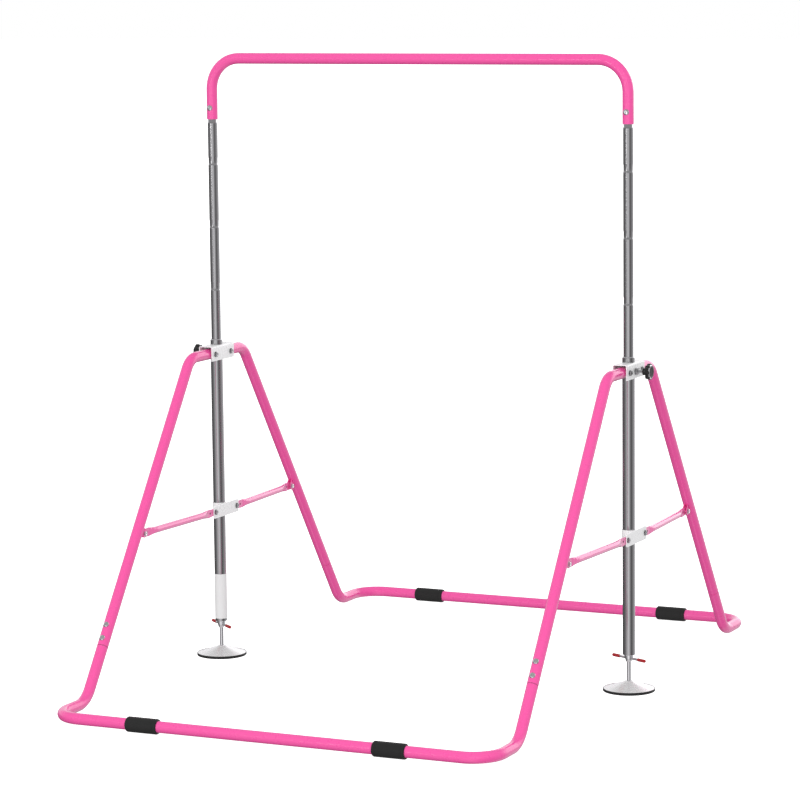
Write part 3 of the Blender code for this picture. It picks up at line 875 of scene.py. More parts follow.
def threaded_rod(name: str, start: Vector, axis: Vector, length: float, radius: float, pitch: float,
                 depth: float, sides: int = 28, per_turn: int = 8) -> Piece:
    """Make a rod with a real screw thread.

    Args:
        name: Object name.
        start: Where the rod begins.
        axis: Unit direction of the rod.
        length: Its length.
        radius: Radius over the crests.
        pitch: Distance from crest to crest.
        depth: Depth of the thread.
        sides: Facets round.
        per_turn: Rings in each pitch.

    Returns:
        The rod.
    """
    axes = cross_axes(axis)
    count = max(2, round(length / pitch * per_turn))
    rings = []
    for row in range(count + 1):
        run = length * row / count
        fade = min(1.0, run / pitch, (length - run) / pitch)
        ring = []
        for index in range(sides):
            phase = (run / pitch - index / sides) % 1.0
            dip = depth * (1 - abs(2 * phase - 1)) * fade
            ring.append(start + axis * run + polar(axes, 2 * math.pi * index / sides, radius - dip))
        rings.append(ring)
    return loft(name, rings)


# Sliding bar -------------------------------------------------------------------


@dataclass
class SlidingBar:
    """The bent top bar and its two chromed sliding tubes."""

    radius: float = 0.0135
    wall: float = 0.0009
    bend: float = 0.075
    skirt_screw: float = 0.028
    tube_radius: float = 0.012
    tube_wall: float = 0.0012
    tube_edge: float = 0.0004
    settings: tuple[float, ...] = (0.779, 0.935, 1.091, 1.247)
    waist_half: float = 0.0105
    waist_depth: float = 0.0007
    shoulder: float = 0.42
    support: float = 0.0012
    neck_depth: float = 0.0010
    neck: tuple[tuple[float, float], ...] = (
        (-0.0100, 0.0), (-0.0090, 0.0), (-0.0082, 0.2), (-0.0076, 0.7), (-0.0070, 1.0), (0.0020, 1.0),
        (0.0030, 0.0))

    def build(self) -> None:
        """Make the bar, both tubes and the screws that join them."""
        low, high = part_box("top_bar")
        self._bar(low.z, high.z - self.radius)
        for side in Side:
            self._tube(Upright(side), low.z)
        places = [(Upright(side).at(low.z + self.skirt_screw), -Y_AXIS) for side in Side]
        screw = ButtonScrew("skirt_screw", face=self.radius + CLEARANCE * 0.3, head=0.0072, height=0.0036,
                            shank=0.0022, tip=0.0095)
        set_fasteners("skirt_screws", screw, places, "top", "bar_screw_left", "bar_screw_right")

    def _bar(self, lip: float, top: float) -> None:
        """Bend the bar down at both ends.

        Args:
            lip: Height of its two ends.
            top: Height of its centreline.
        """
        left, right = Upright(Side.LEFT), Upright(Side.RIGHT)
        path = rounded_path([left.at(lip), left.at(top), right.at(top), right.at(lip)], self.bend)
        dress(swept_tube("bent_bar", path, self.radius, self.wall, PINK_COAT), PINK_COAT, "top", "top_bar")

    def _tube(self, upright: Upright, lip: float) -> None:
        """Turn a tube with a waist at each height setting, and a neck where it enters the bar.

        Args:
            upright: Its upright.
            lip: Height of the bar's lower end.
        """
        node = "upper_tube_" + upright.side.label
        low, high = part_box(node)
        outside = [(low.z, self.tube_radius - self.tube_edge), (low.z + self.tube_edge, self.tube_radius)]
        for setting in self.settings:
            outside += self._waist(setting)
        outside += [(lip + run, self.tube_radius - self.neck_depth * share) for run, share in self.neck]
        outside.append((high.z, self.tube_radius))
        inside = [(run, radius - self.tube_wall) for run, radius in outside]
        tube = lathe("sliding_tube_" + upright.side.label, upright.at(0.0), Z_AXIS, outside + inside[::-1],
                     closed=True)
        dress(tube, CHROME, "top", node)

    def _waist(self, setting: float) -> Profile:
        """Shape one waist: a flat floor between two rolled shoulders.

        Args:
            setting: Height of its middle.

        Returns:
            Height and radius along the waist.
        """
        lower = [(-self.waist_half - self.support, self.tube_radius)]
        for turn in arc(0, 180, 6):
            lower.append((self.waist_half * (self.shoulder * turn / math.pi - 1),
                          self.tube_radius - self.waist_depth * (1 - math.cos(turn)) / 2))
        upper = [(-run, radius) for run, radius in reversed(lower)]
        return [(setting + run, radius) for run, radius in lower + upper]


# Fixed uprights ----------------------------------------------------------------


@dataclass
class FixedUpright(UprightPart):
    """A lower tube with its guide bush, foot plug and leg bracket."""

    radius: float = 0.015
    wall: float = 0.0015
    lip: float = 0.0004
    fit: float = 0.0001
    bush_bore: float = 0.01225
    bush_depth: float = 0.022
    plug_bore: float = 0.0053
    plug_top: float = 0.1065
    sheet: float = 0.002
    fold: float = 0.0045
    nut_corner: float = 0.0086
    nut_bore: float = 0.0046
    nut_reach: float = 0.0256
    label_heights: tuple[float, float] = (0.0945, 0.208)
    paper: float = 0.00032
    has_label: bool = False

    def build(self) -> None:
        """Make everything that the upright carries."""
        self._tube()
        self._bush()
        self._plug()
        self._bracket()
        if self.has_label:
            self._label()

    def _tube(self) -> None:
        """Turn the tube, with its cut ends broken."""
        node = "lower_tube_" + self.tag
        low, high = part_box(node)
        radius, inner, lip = self.radius, self.radius - self.wall, self.lip
        profile = [(low.z, inner + lip), (low.z, radius - lip), (low.z + lip, radius),
                   (high.z - lip, radius), (high.z, radius - lip), (high.z, inner + lip),
                   (high.z - lip, inner), (low.z + lip, inner)]
        dress(self.turned("outer_tube", profile), CHROME, "uprights", node)

    def _bush(self) -> None:
        """Turn the guide bush between the two tubes, with a low flange on top."""
        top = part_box("lower_tube_" + self.tag)[1].z
        bore, outer = self.bush_bore, self.radius - self.wall - self.fit
        profile = [(top - self.bush_depth, bore), (top - self.bush_depth, outer), (top + CLEARANCE, outer),
                   (top + CLEARANCE, self.radius - 0.0008), (top + 0.0014, self.radius - 0.0010),
                   (top + 0.0019, self.radius - 0.0016), (top + 0.0019, bore)]
        dress(self.turned("guide_bush", profile), ZINC, "uprights")

    def _plug(self) -> None:
        """Turn the plug in the tube's foot, with a flange under it."""
        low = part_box("lower_tube_" + self.tag)[0].z
        bore, outer = self.plug_bore, self.radius - self.wall - self.fit
        profile = [(low - 0.0012, bore + 0.0005), (low - 0.0012, self.radius - 0.0008),
                   (low - CLEARANCE, self.radius - 0.0003), (low - CLEARANCE, outer), (self.plug_top, outer),
                   (self.plug_top, bore), (low, bore)]
        dress(self.turned("foot_plug", profile), ZINC, "uprights", "tube_plug_" + self.tag)

    def _bracket(self) -> None:
        """Fold the leg bracket, a channel open below, and weld the clamp screw's nut on it."""
        node = "bracket_" + self.tag
        low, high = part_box(node)
        x, edge = self.upright.x, self.lip
        half = x - low.x if self.upright.side is Side.RIGHT else high.x - x
        outline = self._channel(half, low.z, high.z, self.fold)
        outline += self._channel(half - self.sheet, low.z, high.z - self.sheet, self.fold - self.sheet)[::-1]
        rings = [[Vector((x + across * (1 - inset / half), y, z)) for across, z in outline]
                 for y, inset in ((low.y, edge), (low.y + edge, 0), (high.y - edge, 0), (high.y, edge))]
        dress(loft("leg_bracket_" + self.tag, rings), BRIGHT_PLATE, "uprights", node)
        self._weld_nut(self.upright.at(middle("pivot_bolt_front_" + self.tag).z), half)

    @staticmethod
    def _channel(half: float, low: float, high: float, fold: float) -> Profile:
        """List a channel's outline from one foot to the other.

        Args:
            half: Half its width.
            low: Height of its open feet.
            high: Height of its crown.
            fold: Radius of its two folds.

        Returns:
            Points across and up.
        """
        points = [(-half, low)]
        for centre, first in ((fold - half, 180), (half - fold, 90)):
            for turn in arc(first, first - 90, 6):
                points.append((centre + fold * math.cos(turn), high - fold + fold * math.sin(turn)))
        return points + [(half, low)]

    def _weld_nut(self, seat: Vector, half: float) -> None:
        """Make the nut on the bracket's outer face, with its weld bead.

        Args:
            seat: The clamp screw's place on the upright's axis.
            half: Half the bracket's width.
        """
        corner, reach, bore, back = self.nut_corner, self.nut_reach, self.nut_bore, half + self.fit
        sections = [(back, corner * 1.10, 0), (half + 0.0007, corner * 1.08, 0),
                    (half + 0.0013, corner, 6), (reach - 0.0007, corner, 6), (reach, corner * 0.86, 0),
                    (reach, bore, 0), (back, bore, 0)]
        nut = hex_loft("weld_nut_" + self.tag, seat, self.upright.out, sections, closed=True)
        dress(nut, DARK_ZINC, "uprights")

    def _label(self) -> None:
        """Wrap the blank label round the tube, nearly closing at the back."""
        low, high = (self.upright.at(height) for height in self.label_heights)
        inner = self.radius + 0.00004
        outer = inner + self.paper
        rings = []
        for turn in arc(-215, 85, 48):
            way = polar((X_AXIS, Y_AXIS), turn, 1.0)
            rings.append([low + way * inner, low + way * outer, high + way * outer, high + way * inner])
        dress(loft("tube_label_" + self.tag, rings), WHITE_LABEL, "uprights")


def pivot_bolts() -> None:
    """Bolt both legs into each bracket."""
    nodes = [f"pivot_bolt_{end.label}_{side.label}" for side in Side for end in End]
    bolt = HexBolt("pivot_pattern", half_grip=0.0184, shank=0.0039, head=0.0062, height=0.0052)
    places = [(middle(node), X_AXIS) for node in nodes]
    set_fasteners("pivot_bolts", bolt, places, "uprights", *nodes, finish=DARK_ZINC)


@dataclass
class ClampKnob(UprightPart):
    """The seven-lobed hand knob that clamps the sliding tube."""

    lobes: int = 7
    radius: float = 0.0177
    lobe: float = 0.0018
    hollow: float = 0.9
    inner: float = 0.046
    outer: float = 0.058
    neck: float = 0.0085
    neck_start: float = 0.037
    screw: float = 0.0039
    screw_pitch: float = 0.00125
    screw_depth: float = 0.0006
    screw_end: float = 0.005

    @property
    def body(self) -> str:
        """The knob's CAD body."""
        return "knob_" + self.tag

    @property
    def seat(self) -> Vector:
        """Where the screw's axis meets the upright's."""
        return self.upright.at(middle("knob_screw_" + self.tag).z)

    def build(self) -> None:
        """Make the knob, its face and its screw."""
        self._mould()
        self._face()
        node = "knob_screw_" + self.tag
        start = min(abs(corner.x - self.upright.x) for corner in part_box(node))
        rod = threaded_rod("clamp_screw_" + self.tag, self.seat + self.upright.out * start, self.upright.out,
                           self.outer - self.screw_end - start, self.screw, self.screw_pitch,
                           self.screw_depth)
        dress(rod, ZINC, self.body, node)

    def _mould(self) -> None:
        """Mould the lobed body: the lobes fade out towards the neck and over the rounded rim."""
        axes = cross_axes(self.upright.out)
        sides = self.lobes * 12
        inner, outer, radius, neck = self.inner, self.outer, self.radius, self.neck
        stations = [(self.neck_start, neck - 0.0005, 0.0), (self.neck_start + 0.0005, neck, 0.0),
                    (inner - 0.0020, neck, 0.0), (inner - 0.0006, neck + 0.0010, 0.1),
                    (inner, neck + 0.0030, 0.3), (inner, radius - 0.0022, 0.85),
                    (inner + 0.0005, radius - 0.0008, 1.0), (inner + 0.0016, radius, 1.0),
                    (outer - 0.0040, radius, 1.0), (outer - 0.0025, radius - 0.0003, 1.0),
                    (outer - 0.0012, radius - 0.0012, 1.0), (outer - 0.0005, radius - 0.0024, 0.9),
                    (outer - 0.0002, radius - 0.0040, 0.5), (outer - 0.0002, 0.0105, 0.0),
                    (outer - 0.0010, 0.0100, 0.0), (outer - 0.0010, 0.0002, 0.0)]
        rings = []
        for run, reach, share in stations:
            ring = []
            for index in range(sides):
                turn = 2 * math.pi * index / sides
                wave = math.cos(self.lobes * turn)
                swell = self.lobe * share * (wave if wave > 0 else wave * self.hollow)
                ring.append(self.seat + self.upright.out * run + polar(axes, turn, reach + swell))
            rings.append(ring)
        dress(loft("clamp_knob_" + self.tag, rings), BLACK_PLASTIC, self.body, self.body)

    def _face(self) -> None:
        """Press a shallow dished cap and a bevelled metal ring into the knob's face."""
        base, out = self.outer - 0.0009, self.outer
        dish = [(base, 0.0098), (base + 0.0006, 0.0098), (base + 0.0009, 0.0092), (base + 0.0006, 0.0078),
                (base + 0.0007, 0.0040), (base + 0.00075, 0.0003)]
        cap = lathe("knob_cap_" + self.tag, self.seat, self.upright.out, dish, 40)
        dress(cap, BLACK_RUBBER, self.body)
        rim = [(out - 0.0022, 0.0150), (out - 0.0022, 0.0170), (out - 0.0016, 0.0171),
               (out + 0.0002, 0.0150), (out + 0.0002, 0.0146), (out - 0.0008, 0.0146)]
        bezel = lathe("knob_bezel_" + self.tag, self.seat, self.upright.out, rim, closed=True)
        dress(bezel, ZINC, self.body)


# Leg frames --------------------------------------------------------------------


@dataclass
class LegFrame:
    """Two bent legs joined by a floor rail, which fold together about the bracket bolts."""

    end: End
    radius: float = 0.0135
    wall: float = 0.0014
    leg_bend: float = 0.055
    leg_inner: float = 0.032
    rail_bend: float = 0.070
    joint_height: float = 0.134
    joint_gap: float = 0.0012
    spigot: float = 0.055
    spigot_foot: float = -0.018
    spigot_wall: float = 0.0012
    screw_rises: tuple[float, float] = (0.015, 0.043)
    grip_radius: float = 0.0178
    grip_fit: float = 0.0002
    grip_corner: float = 0.0040
    grip_groove: float = 0.0004
    lug_plates: tuple[float, float] = (-0.006, 0.004)
    lug_sheet: float = 0.002
    lug_nose: float = 0.0098
    lug_half: float = 0.0125
    lug_depth: float = 0.0123

    @property
    def body(self) -> str:
        """The frame's CAD body."""
        return self.end.label + "_frame"

    @property
    def lines(self) -> list[LegLine]:
        """The straights of its two legs."""
        return [LegLine(side, self.end) for side in Side]

    def build(self) -> None:
        """Make the rail, legs, grips and fasteners."""
        self._rail()
        for line in self.lines:
            self._leg(line)
            self._spigot(line)
            self._grip(line)
        self._joint_screws()
        bolt = HexBolt("lug_pattern", half_grip=0.006, shank=0.0029, head=0.0058, height=0.0040,
                       washer=0.0006)
        set_fasteners("lug_bolts_" + self.end.label, bolt, [(line.lug_pin, X_AXIS) for line in self.lines],
                      self.body, *["lug_bolt_" + line.name for line in self.lines])

    def _rail(self) -> None:
        """Bend the floor rail up to meet both legs."""
        grip = middle(f"grip_{self.end.label}_left")
        left, right = self.lines
        toes = [left.at(grip.z), right.at(grip.z)]
        floor = [Vector((toe.x, grip.y, grip.z)) for toe in toes]
        corners = [left.at(self.joint_height), toes[0], *floor, toes[1], right.at(self.joint_height)]
        rail = swept_tube("floor_rail_" + self.end.label, rounded_path(corners, self.rail_bend), self.radius,
                          self.wall, PINK_COAT)
        dress(rail, PINK_COAT, self.body, "base_frame_" + self.end.label)

    def _leg(self, line: LegLine) -> None:
        """Bend a leg and weld the strut's lug under it.

        Args:
            line: The leg's straight.
        """
        pivot = middle("pivot_bolt_" + line.name)
        corners = [Vector((pivot.x, self.end.value * self.leg_inner, pivot.z)),
                   Vector((pivot.x, line.at(pivot.z).y, pivot.z)),
                   line.at(self.joint_height + self.joint_gap)]
        path = rounded_path(corners, self.leg_bend, 22)
        leg = swept_tube("bent_leg_" + line.name, path, self.radius, self.wall, PINK_COAT)
        for plate_x in self.lug_plates:
            carve(leg, self._lug_plate(line, plate_x), "UNION")
        dress(leg, PINK_COAT, self.body, "leg_" + line.name)

    def _lug_plate(self, line: LegLine, plate_x: float) -> Piece:
        """Cut one round-nosed plate of a lug.

        Args:
            line: The leg's straight.
            plate_x: Its near face, off the leg's centre plane.

        Returns:
            The plate, as a tool for a union.
        """
        pin, nose, thick, edge = line.lug_pin, self.lug_nose, self.lug_sheet, BROKEN_EDGE
        root, side = line.outward * (line.lug_drop - self.lug_depth), line.down * self.lug_half
        outline = [root + side, *[polar((line.down, -line.outward), turn, nose) for turn in arc(0, 180, 18)],
                   root - side]
        rings = [[pin + step * (1 - inset / nose) + X_AXIS * (plate_x + run) for step in outline]
                 for run, inset in ((0.0, edge), (edge, 0.0), (thick - edge, 0.0), (thick, edge))]
        return loft("lug_plate", rings)

    def _spigot(self, line: LegLine) -> None:
        """Turn the spigot that the leg slides over.

        Args:
            line: The leg's straight.
        """
        outer, foot, top = self.radius - self.wall - CLEARANCE, self.spigot_foot, self.spigot
        inner = outer - self.spigot_wall
        profile = [(foot, inner), (foot, outer), (top - 0.001, outer), (top, outer - 0.0006), (top, inner)]
        sleeve = lathe("joint_spigot_" + line.name, line.at(self.joint_height), -line.down, profile, 40,
                       closed=True)
        dress(sleeve, ZINC, self.body)

    def _grip(self, line: LegLine) -> None:
        """Mould a grip sleeve with rounded ends and a fine groove near each.

        Args:
            line: The leg that it sits nearest to.
        """
        node = "grip_" + line.name
        low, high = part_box(node)
        start = Vector((low.x, (low.y + high.y) / 2, (low.z + high.z) / 2))
        length, bore = high.x - low.x, self.radius + self.grip_fit
        radius, corner, groove = self.grip_radius, self.grip_corner, self.grip_radius - self.grip_groove
        half = [(corner * (1 - math.cos(turn)), radius - corner * (1 - math.sin(turn)))
                for turn in arc(0, 90, 8)]
        half += [(0.0085, radius), (0.0090, groove), (0.0096, groove), (0.0101, radius)]
        outside = half + [(length - run, reach) for run, reach in reversed(half)]
        profile = [(0.0, bore), *outside, (length, bore)]
        grip = lathe("floor_grip_" + line.name, start, X_AXIS, profile, closed=True)
        dress(grip, BLACK_RUBBER, self.body, node)

    def _joint_screws(self) -> None:
        """Screw each leg to its spigot from outside."""
        places, nodes = [], []
        for line in self.lines:
            for word, rise in zip(("lower", "upper"), self.screw_rises):
                places.append((line.at(self.joint_height + rise), line.outward))
                nodes.append(f"joint_screw_{line.name}_{word}")
        screw = ButtonScrew("joint_pattern", face=self.radius + CLEARANCE * 0.3, head=0.0072, height=0.0036,
                            shank=0.0024, tip=0.0085)
        set_fasteners("joint_screws_" + self.end.label, screw, places, self.body, *nodes)


# Struts and collars ------------------------------------------------------------


@dataclass
class Strut:
    """A round stay, flattened at both ends, which leans from the ear beside the upright to the lug."""

    line: LegLine
    radius: float = 0.0082
    ear_offset: float = 0.0162
    ear_flat: float = 0.00075
    ear_nose: float = 0.0078
    lug_flat: float = 0.0010
    lug_nose: float = 0.0095
    squareness: float = 8.0
    sides: int = 40
    hole_reach: float = 0.004
    # Half thickness of the thin black disc of painted shade in each spare hole.
    plug_half: float = 0.0005

    def build(self) -> None:
        """Loft the strut, drill its two spare holes and set a thin black disc inside each as painted shade.
        """
        ear, lug = self.line.ear_pin, self.line.lug_pin
        length = (lug - ear).length
        along = (lug - ear).normalized()
        wide = along.cross(X_AXIS).normalized()
        rings = [section(ear + along * run + X_AXIS * offset, X_AXIS, wide, thick, width, self.sides, power)
                 for run, offset, thick, width, power in self._stations(length)]
        strut = loft("stay_" + self.line.name, rings)
        body = "strut_" + self.line.name
        holes = ((0.024, self.ear_offset, 0.0028), (length - 0.020, 0.0, 0.0026))
        for number, (run, centre_x, radius) in enumerate(holes):
            spare, reach, half = ear + along * run + X_AXIS * centre_x, self.hole_reach, self.plug_half
            carve(strut, lathe("spare_hole", spare, X_AXIS, [(-reach, radius), (reach, radius)], 24))
            # The thin black disc in each hole is painted shade: it stands in for the darkness inside the
            # hole.
            plug = radius - 0.0001
            disc = [(-half, 0.0003), (-half, plug), (half, plug), (half, 0.0003)]
            dress(lathe(f"hole_plug_{self.line.name}_{number}", spare, X_AXIS, disc, 24), BLACK_RUBBER, body)
        dress(strut, STAY_COAT_WITH_PAINTED_HIGHLIGHT, body, body)

    def _stations(self, length: float) -> list[tuple[float, float, float, float, float]]:
        """List the sections from the ear to the lug.

        Args:
            length: Distance between the pins.

        Returns:
            Distance from the ear pin, sideways offset, half thickness, half width and squareness of each.
        """
        offset, round_half, square = self.ear_offset, self.radius, self.squareness
        flat, tip, lug_flat, nose = self.ear_flat, self.ear_nose, self.lug_flat, self.lug_nose
        stations = [(-tip * math.cos(turn), offset, flat, tip * math.sin(turn), square)
                    for turn in arc(6, 90, 9)]
        lean_start = 0.030
        lean = offset / (length - 0.056)
        keys = [(0.004, offset, flat, 0.0088, square), (lean_start, offset, flat, 0.0106, square)]
        for run, thick, width, power in (
                (0.036, 0.0012, 0.0104, 5.0), (0.044, 0.0034, 0.0096, 3.2), (0.054, 0.0062, 0.0085, 2.4),
                (0.066, round_half, round_half, 2.0), (length - 0.060, round_half, round_half, 2.0),
                (length - 0.048, 0.0062, 0.0085, 2.4), (length - 0.038, 0.0034, 0.0096, 3.2)):
            keys.append((run, offset - lean * (run - lean_start), thick, width, power))
        keys.append((length - 0.026, 0.0, lug_flat, 0.0110, square))
        for first, second in zip(keys, keys[1:]):
            pieces = 6 if second[0] - first[0] < 0.03 else 1
            for piece in range(pieces):
                share = piece / pieces
                ease = share * share * (3 - 2 * share)
                stations.append((first[0] + (second[0] - first[0]) * share,
                                 *[first[i] + (second[i] - first[i]) * ease for i in range(1, 5)]))
        stations.append(keys[-1])
        return stations + [(length + nose * math.cos(turn), 0.0, lug_flat, nose * math.sin(turn), square)
                           for turn in arc(90, 6, 9)]


@dataclass
class Collar(UprightPart):
    """A sleeve that slides on the lower tube, with an ear plate for both struts."""

    radius: float = 0.0170
    bore: float = 0.01535
    chamfer: float = 0.0005
    plate: tuple[float, float] = (0.0177, 0.0199)
    corner: float = 0.005
    ear_margin: float = 0.0095
    weld_x: float = 0.0169
    weld_half: tuple[float, float] = (0.0010, 0.0055)

    @property
    def body(self) -> str:
        """The collar's CAD body."""
        return "collar_" + self.tag

    def build(self) -> None:
        """Make the sleeve, the ear plate and the ear bolts, whose shanks stop short of the struts."""
        low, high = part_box(self.body)
        edge = self.chamfer
        profile = [(low.z, self.bore), (low.z, self.radius - edge), (low.z + edge, self.radius),
                   (high.z - edge, self.radius), (high.z, self.radius - edge), (high.z, self.bore)]
        dress(self.turned("strut_collar", profile), BRIGHT_PLATE, self.body, self.body)
        self._plate(self.upright.at((low.z + high.z) / 2), (high.z - low.z) / 2)
        lines = [LegLine(self.upright.side, end) for end in End]
        bolt = HexBolt("ear_pattern", half_grip=self.plate[1], shank=0.0029, head=0.0062, height=0.0040,
                       washer=0.0006, through=False, start=self.plate[0] - CLEARANCE)
        set_fasteners("ear_bolts_" + self.tag, bolt, [(line.ear_pin, X_AXIS) for line in lines], self.body,
                      *["ear_bolt_" + line.name for line in lines], finish=DARK_ZINC)

    def _plate(self, centre: Vector, half: float) -> None:
        """Cut the ear plate with round corners and weld it to the sleeve.

        Args:
            centre: The sleeve's middle.
            half: Half the plate's height.
        """
        (near, far), corner, edge = self.plate, self.corner, BROKEN_EDGE
        reach = LegLine(self.upright.side, End.REAR).ear_pin.y + self.ear_margin
        outline = [(side * (reach - corner) + corner * math.cos(turn),
                    rise * (half - corner) + corner * math.sin(turn))
                   for side, rise, first in ((1, 1, 0), (-1, 1, 90), (-1, -1, 180), (1, -1, 270))
                   for turn in arc(first, first + 90, 7)]
        rings = [[centre + Vector((x, y * (1 - inset / reach), z * (1 - inset / half))) for y, z in outline]
                 for x, inset in ((near, edge), (near + edge, 0.0), (far - edge, 0.0), (far, edge))]
        plate = loft("ear_plate_" + self.tag, rings)
        deep, wide = self.weld_half
        weld = [section(centre + Vector((self.weld_x, 0, half * rise)), X_AXIS, Y_AXIS, deep, wide * share,
                        16, 3.0) for rise, share in ((-0.95, 0.6), (-0.85, 1.0), (0.85, 1.0), (0.95, 0.6))]
        carve(plate, loft("ear_weld", weld), "UNION")
        dress(plate, BRIGHT_PLATE, self.body)


# Levelling feet ----------------------------------------------------------------


@dataclass
class LevellingFoot(UprightPart):
    """A coned foot with a rubber rim, and the spindle and tommy bar that raise it."""

    stem: float = 0.005
    neck: float = 0.0125
    cone_top: float = 0.0235
    cone_base: float = 0.0065
    neck_rise: float = 0.008
    sheet: float = 0.0014
    flare: float = 1.05
    hub_half: float = 0.0085
    thread_pitch: float = 0.0025
    thread_depth: float = 0.0009
    bar_half: float = 0.056
    bar_radius: float = 0.003
    cap_length: float = 0.026
    cap_radius: float = 0.0040
    bar_angles: dict[Side, float] = field(default_factory=lambda: {Side.LEFT: -38.0, Side.RIGHT: -24.5})

    def build(self) -> None:
        """Make the foot, then what turns."""
        self._cone()
        self._rim()
        self._spindle()
        self._tommy_bar()

    def _cone(self) -> None:
        """Spin the sheet cone with a rolled neck round the spindle."""
        node = "foot_cone_" + self.tag
        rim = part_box(node)[1].x - self.upright.x
        steps, top, bore = 18, self.cone_top, self.stem + 0.0005
        slope = []
        for step in range(steps + 1):
            share = step / steps
            slope.append((self.cone_base + (top - self.neck_rise) * (1 - share) ** self.flare,
                          self.neck + (rim - self.neck) * share))
        outside = [(top + 0.0006, bore), (top + 0.0008, self.neck - 0.0045),
                   (top + 0.0004, self.neck - 0.0018), (slope[0][0] + 0.0004, self.neck - 0.0006),
                   *slope, (0.0045, rim), (0.0035, rim - 0.0003)]
        inside = [(run - 0.0013, reach - self.sheet) for run, reach in slope]
        profile = outside + [(0.0035, rim - self.sheet)] + inside[::-1] + [(top - 0.003, bore)]
        dress(self.turned("spun_cone", profile, 96), SPUN_STEEL, "foot_" + self.tag, node)

    def _rim(self) -> None:
        """Mould the rubber rim, which is all that meets the floor."""
        node = "foot_rubber_" + self.tag
        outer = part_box(node)[1].x - self.upright.x
        lip, inner = outer - 0.0011, outer - 0.012
        profile = [(0.0, inner), (0.0, outer - 0.0018), (0.0003, outer - 0.0008), (0.0012, outer - 0.0001),
                   (0.0056, outer), (0.0066, outer - 0.0003), (0.0070, outer - 0.0008), (0.0068, lip),
                   (0.0032, lip), (0.0032, inner)]
        dress(self.turned("rubber_rim", profile, 96), BLACK_RUBBER, "foot_" + self.tag, node)

    def _spindle(self) -> None:
        """Turn the flange, stem and hub, and cut the thread above the hub."""
        node, body = "jack_screw_" + self.tag, "handle_" + self.tag
        hub = middle("handle_bar_" + self.tag).z
        low, high, top = hub - self.hub_half, hub + self.hub_half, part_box(node)[1].z
        profile = [(0.0135, 0.008), (0.0170, 0.008), (0.0170, self.stem), (low, self.stem), (low, 0.0065),
                   (low + 0.0005, 0.0070), (high - 0.0060, 0.0105), (high - 0.0006, 0.0110), (high, 0.0105),
                   (high, self.stem)]
        dress(self.turned("foot_spindle", profile, 40, closed=False), ZINC, body, node)
        thread = threaded_rod("spindle_thread_" + self.tag, self.upright.at(high - 0.0005), Z_AXIS,
                              top - high, self.stem, self.thread_pitch, self.thread_depth)
        dress(thread, ZINC, body)

    def _tommy_bar(self) -> None:
        """Push the bar through the hub and dip its ends."""
        node, body = "handle_bar_" + self.tag, "handle_" + self.tag
        centre = self.upright.at(middle(node).z)
        way = polar((X_AXIS, Y_AXIS), math.radians(self.bar_angles[self.upright.side]), 1.0)
        half, bar, cap = self.bar_half, self.bar_radius, self.cap_radius
        rod = [(-half + 0.002, 0.0022), (-half + 0.0028, bar), (half - 0.0028, bar), (half - 0.002, 0.0022)]
        dress(lathe("tommy_bar_" + self.tag, centre, way, rod, 24), ZINC, body, node)
        mouth = half - self.cap_length
        profile = [(mouth, bar + 0.0001), (mouth, cap - 0.0004), (mouth + 0.0006, cap)]
        profile += [(half - cap * (1 - math.sin(turn)), cap * math.cos(turn)) for turn in arc(0, 88, 8)]
        for number, direction in enumerate((way, -way)):
            dipped = lathe(f"dipped_cap_{self.tag}_{number}", centre, direction, profile, 28)
            dress(dipped, RED_VINYL, body)


# Studio ------------------------------------------------------------------------


@dataclass(frozen=True)
class Viewpoint:
    """The camera's place, aim and roll."""

    azimuth: float = math.radians(25.0478)
    pitch: float = math.radians(7.54968)
    roll: float = 0.01061
    distance: float = 8.0588
    lens: float = 148.75
    clip: tuple[float, float] = (0.1, 400.0)
    target: tuple[float, float, float] = (-0.0457, 0.0, 0.67205)

    def place(self) -> None:
        """Make the scene's camera."""
        right = Vector((math.cos(self.azimuth), math.sin(self.azimuth), 0))
        level = Vector((math.sin(self.azimuth), -math.cos(self.azimuth), 0))
        back = level * math.cos(self.pitch) + Z_AXIS * math.sin(self.pitch)
        up = back.cross(right)
        cosine, sine = math.cos(self.roll), math.sin(self.roll)
        across, rise = right * cosine - up * sine, right * sine + up * cosine
        camera = add_object("camera", bpy.data.cameras.new("camera"))
        camera.data.lens = self.lens
        camera.data.clip_start, camera.data.clip_end = self.clip
        rotation = Matrix((across, rise, back)).transposed()
        place = Vector(self.target) + back * self.distance
        camera.matrix_world = Matrix.Translation(place) @ rotation.to_4x4()
        bpy.context.scene.camera = camera


@dataclass(frozen=True)
class Lamp:
    """One square light that faces the object."""

    name: str
    place: tuple[float, float, float]
    size: float
    power: float
    glossy: bool = False
    aim: tuple[float, float, float] = (0, 0, 0.7)

    def hang(self) -> None:
        """Hang the light, out of the camera's sight."""
        light = bpy.data.lights.new(self.name, "AREA")
        light.size, light.energy = self.size, self.power
        panel = add_object(self.name, light)
        panel.location = self.place
        panel.rotation_mode = "QUATERNION"
        panel.rotation_quaternion = (Vector(self.aim) - Vector(self.place)).to_track_quat("-Z", "Y")
        panel.visible_glossy = self.glossy
        panel.visible_camera = False


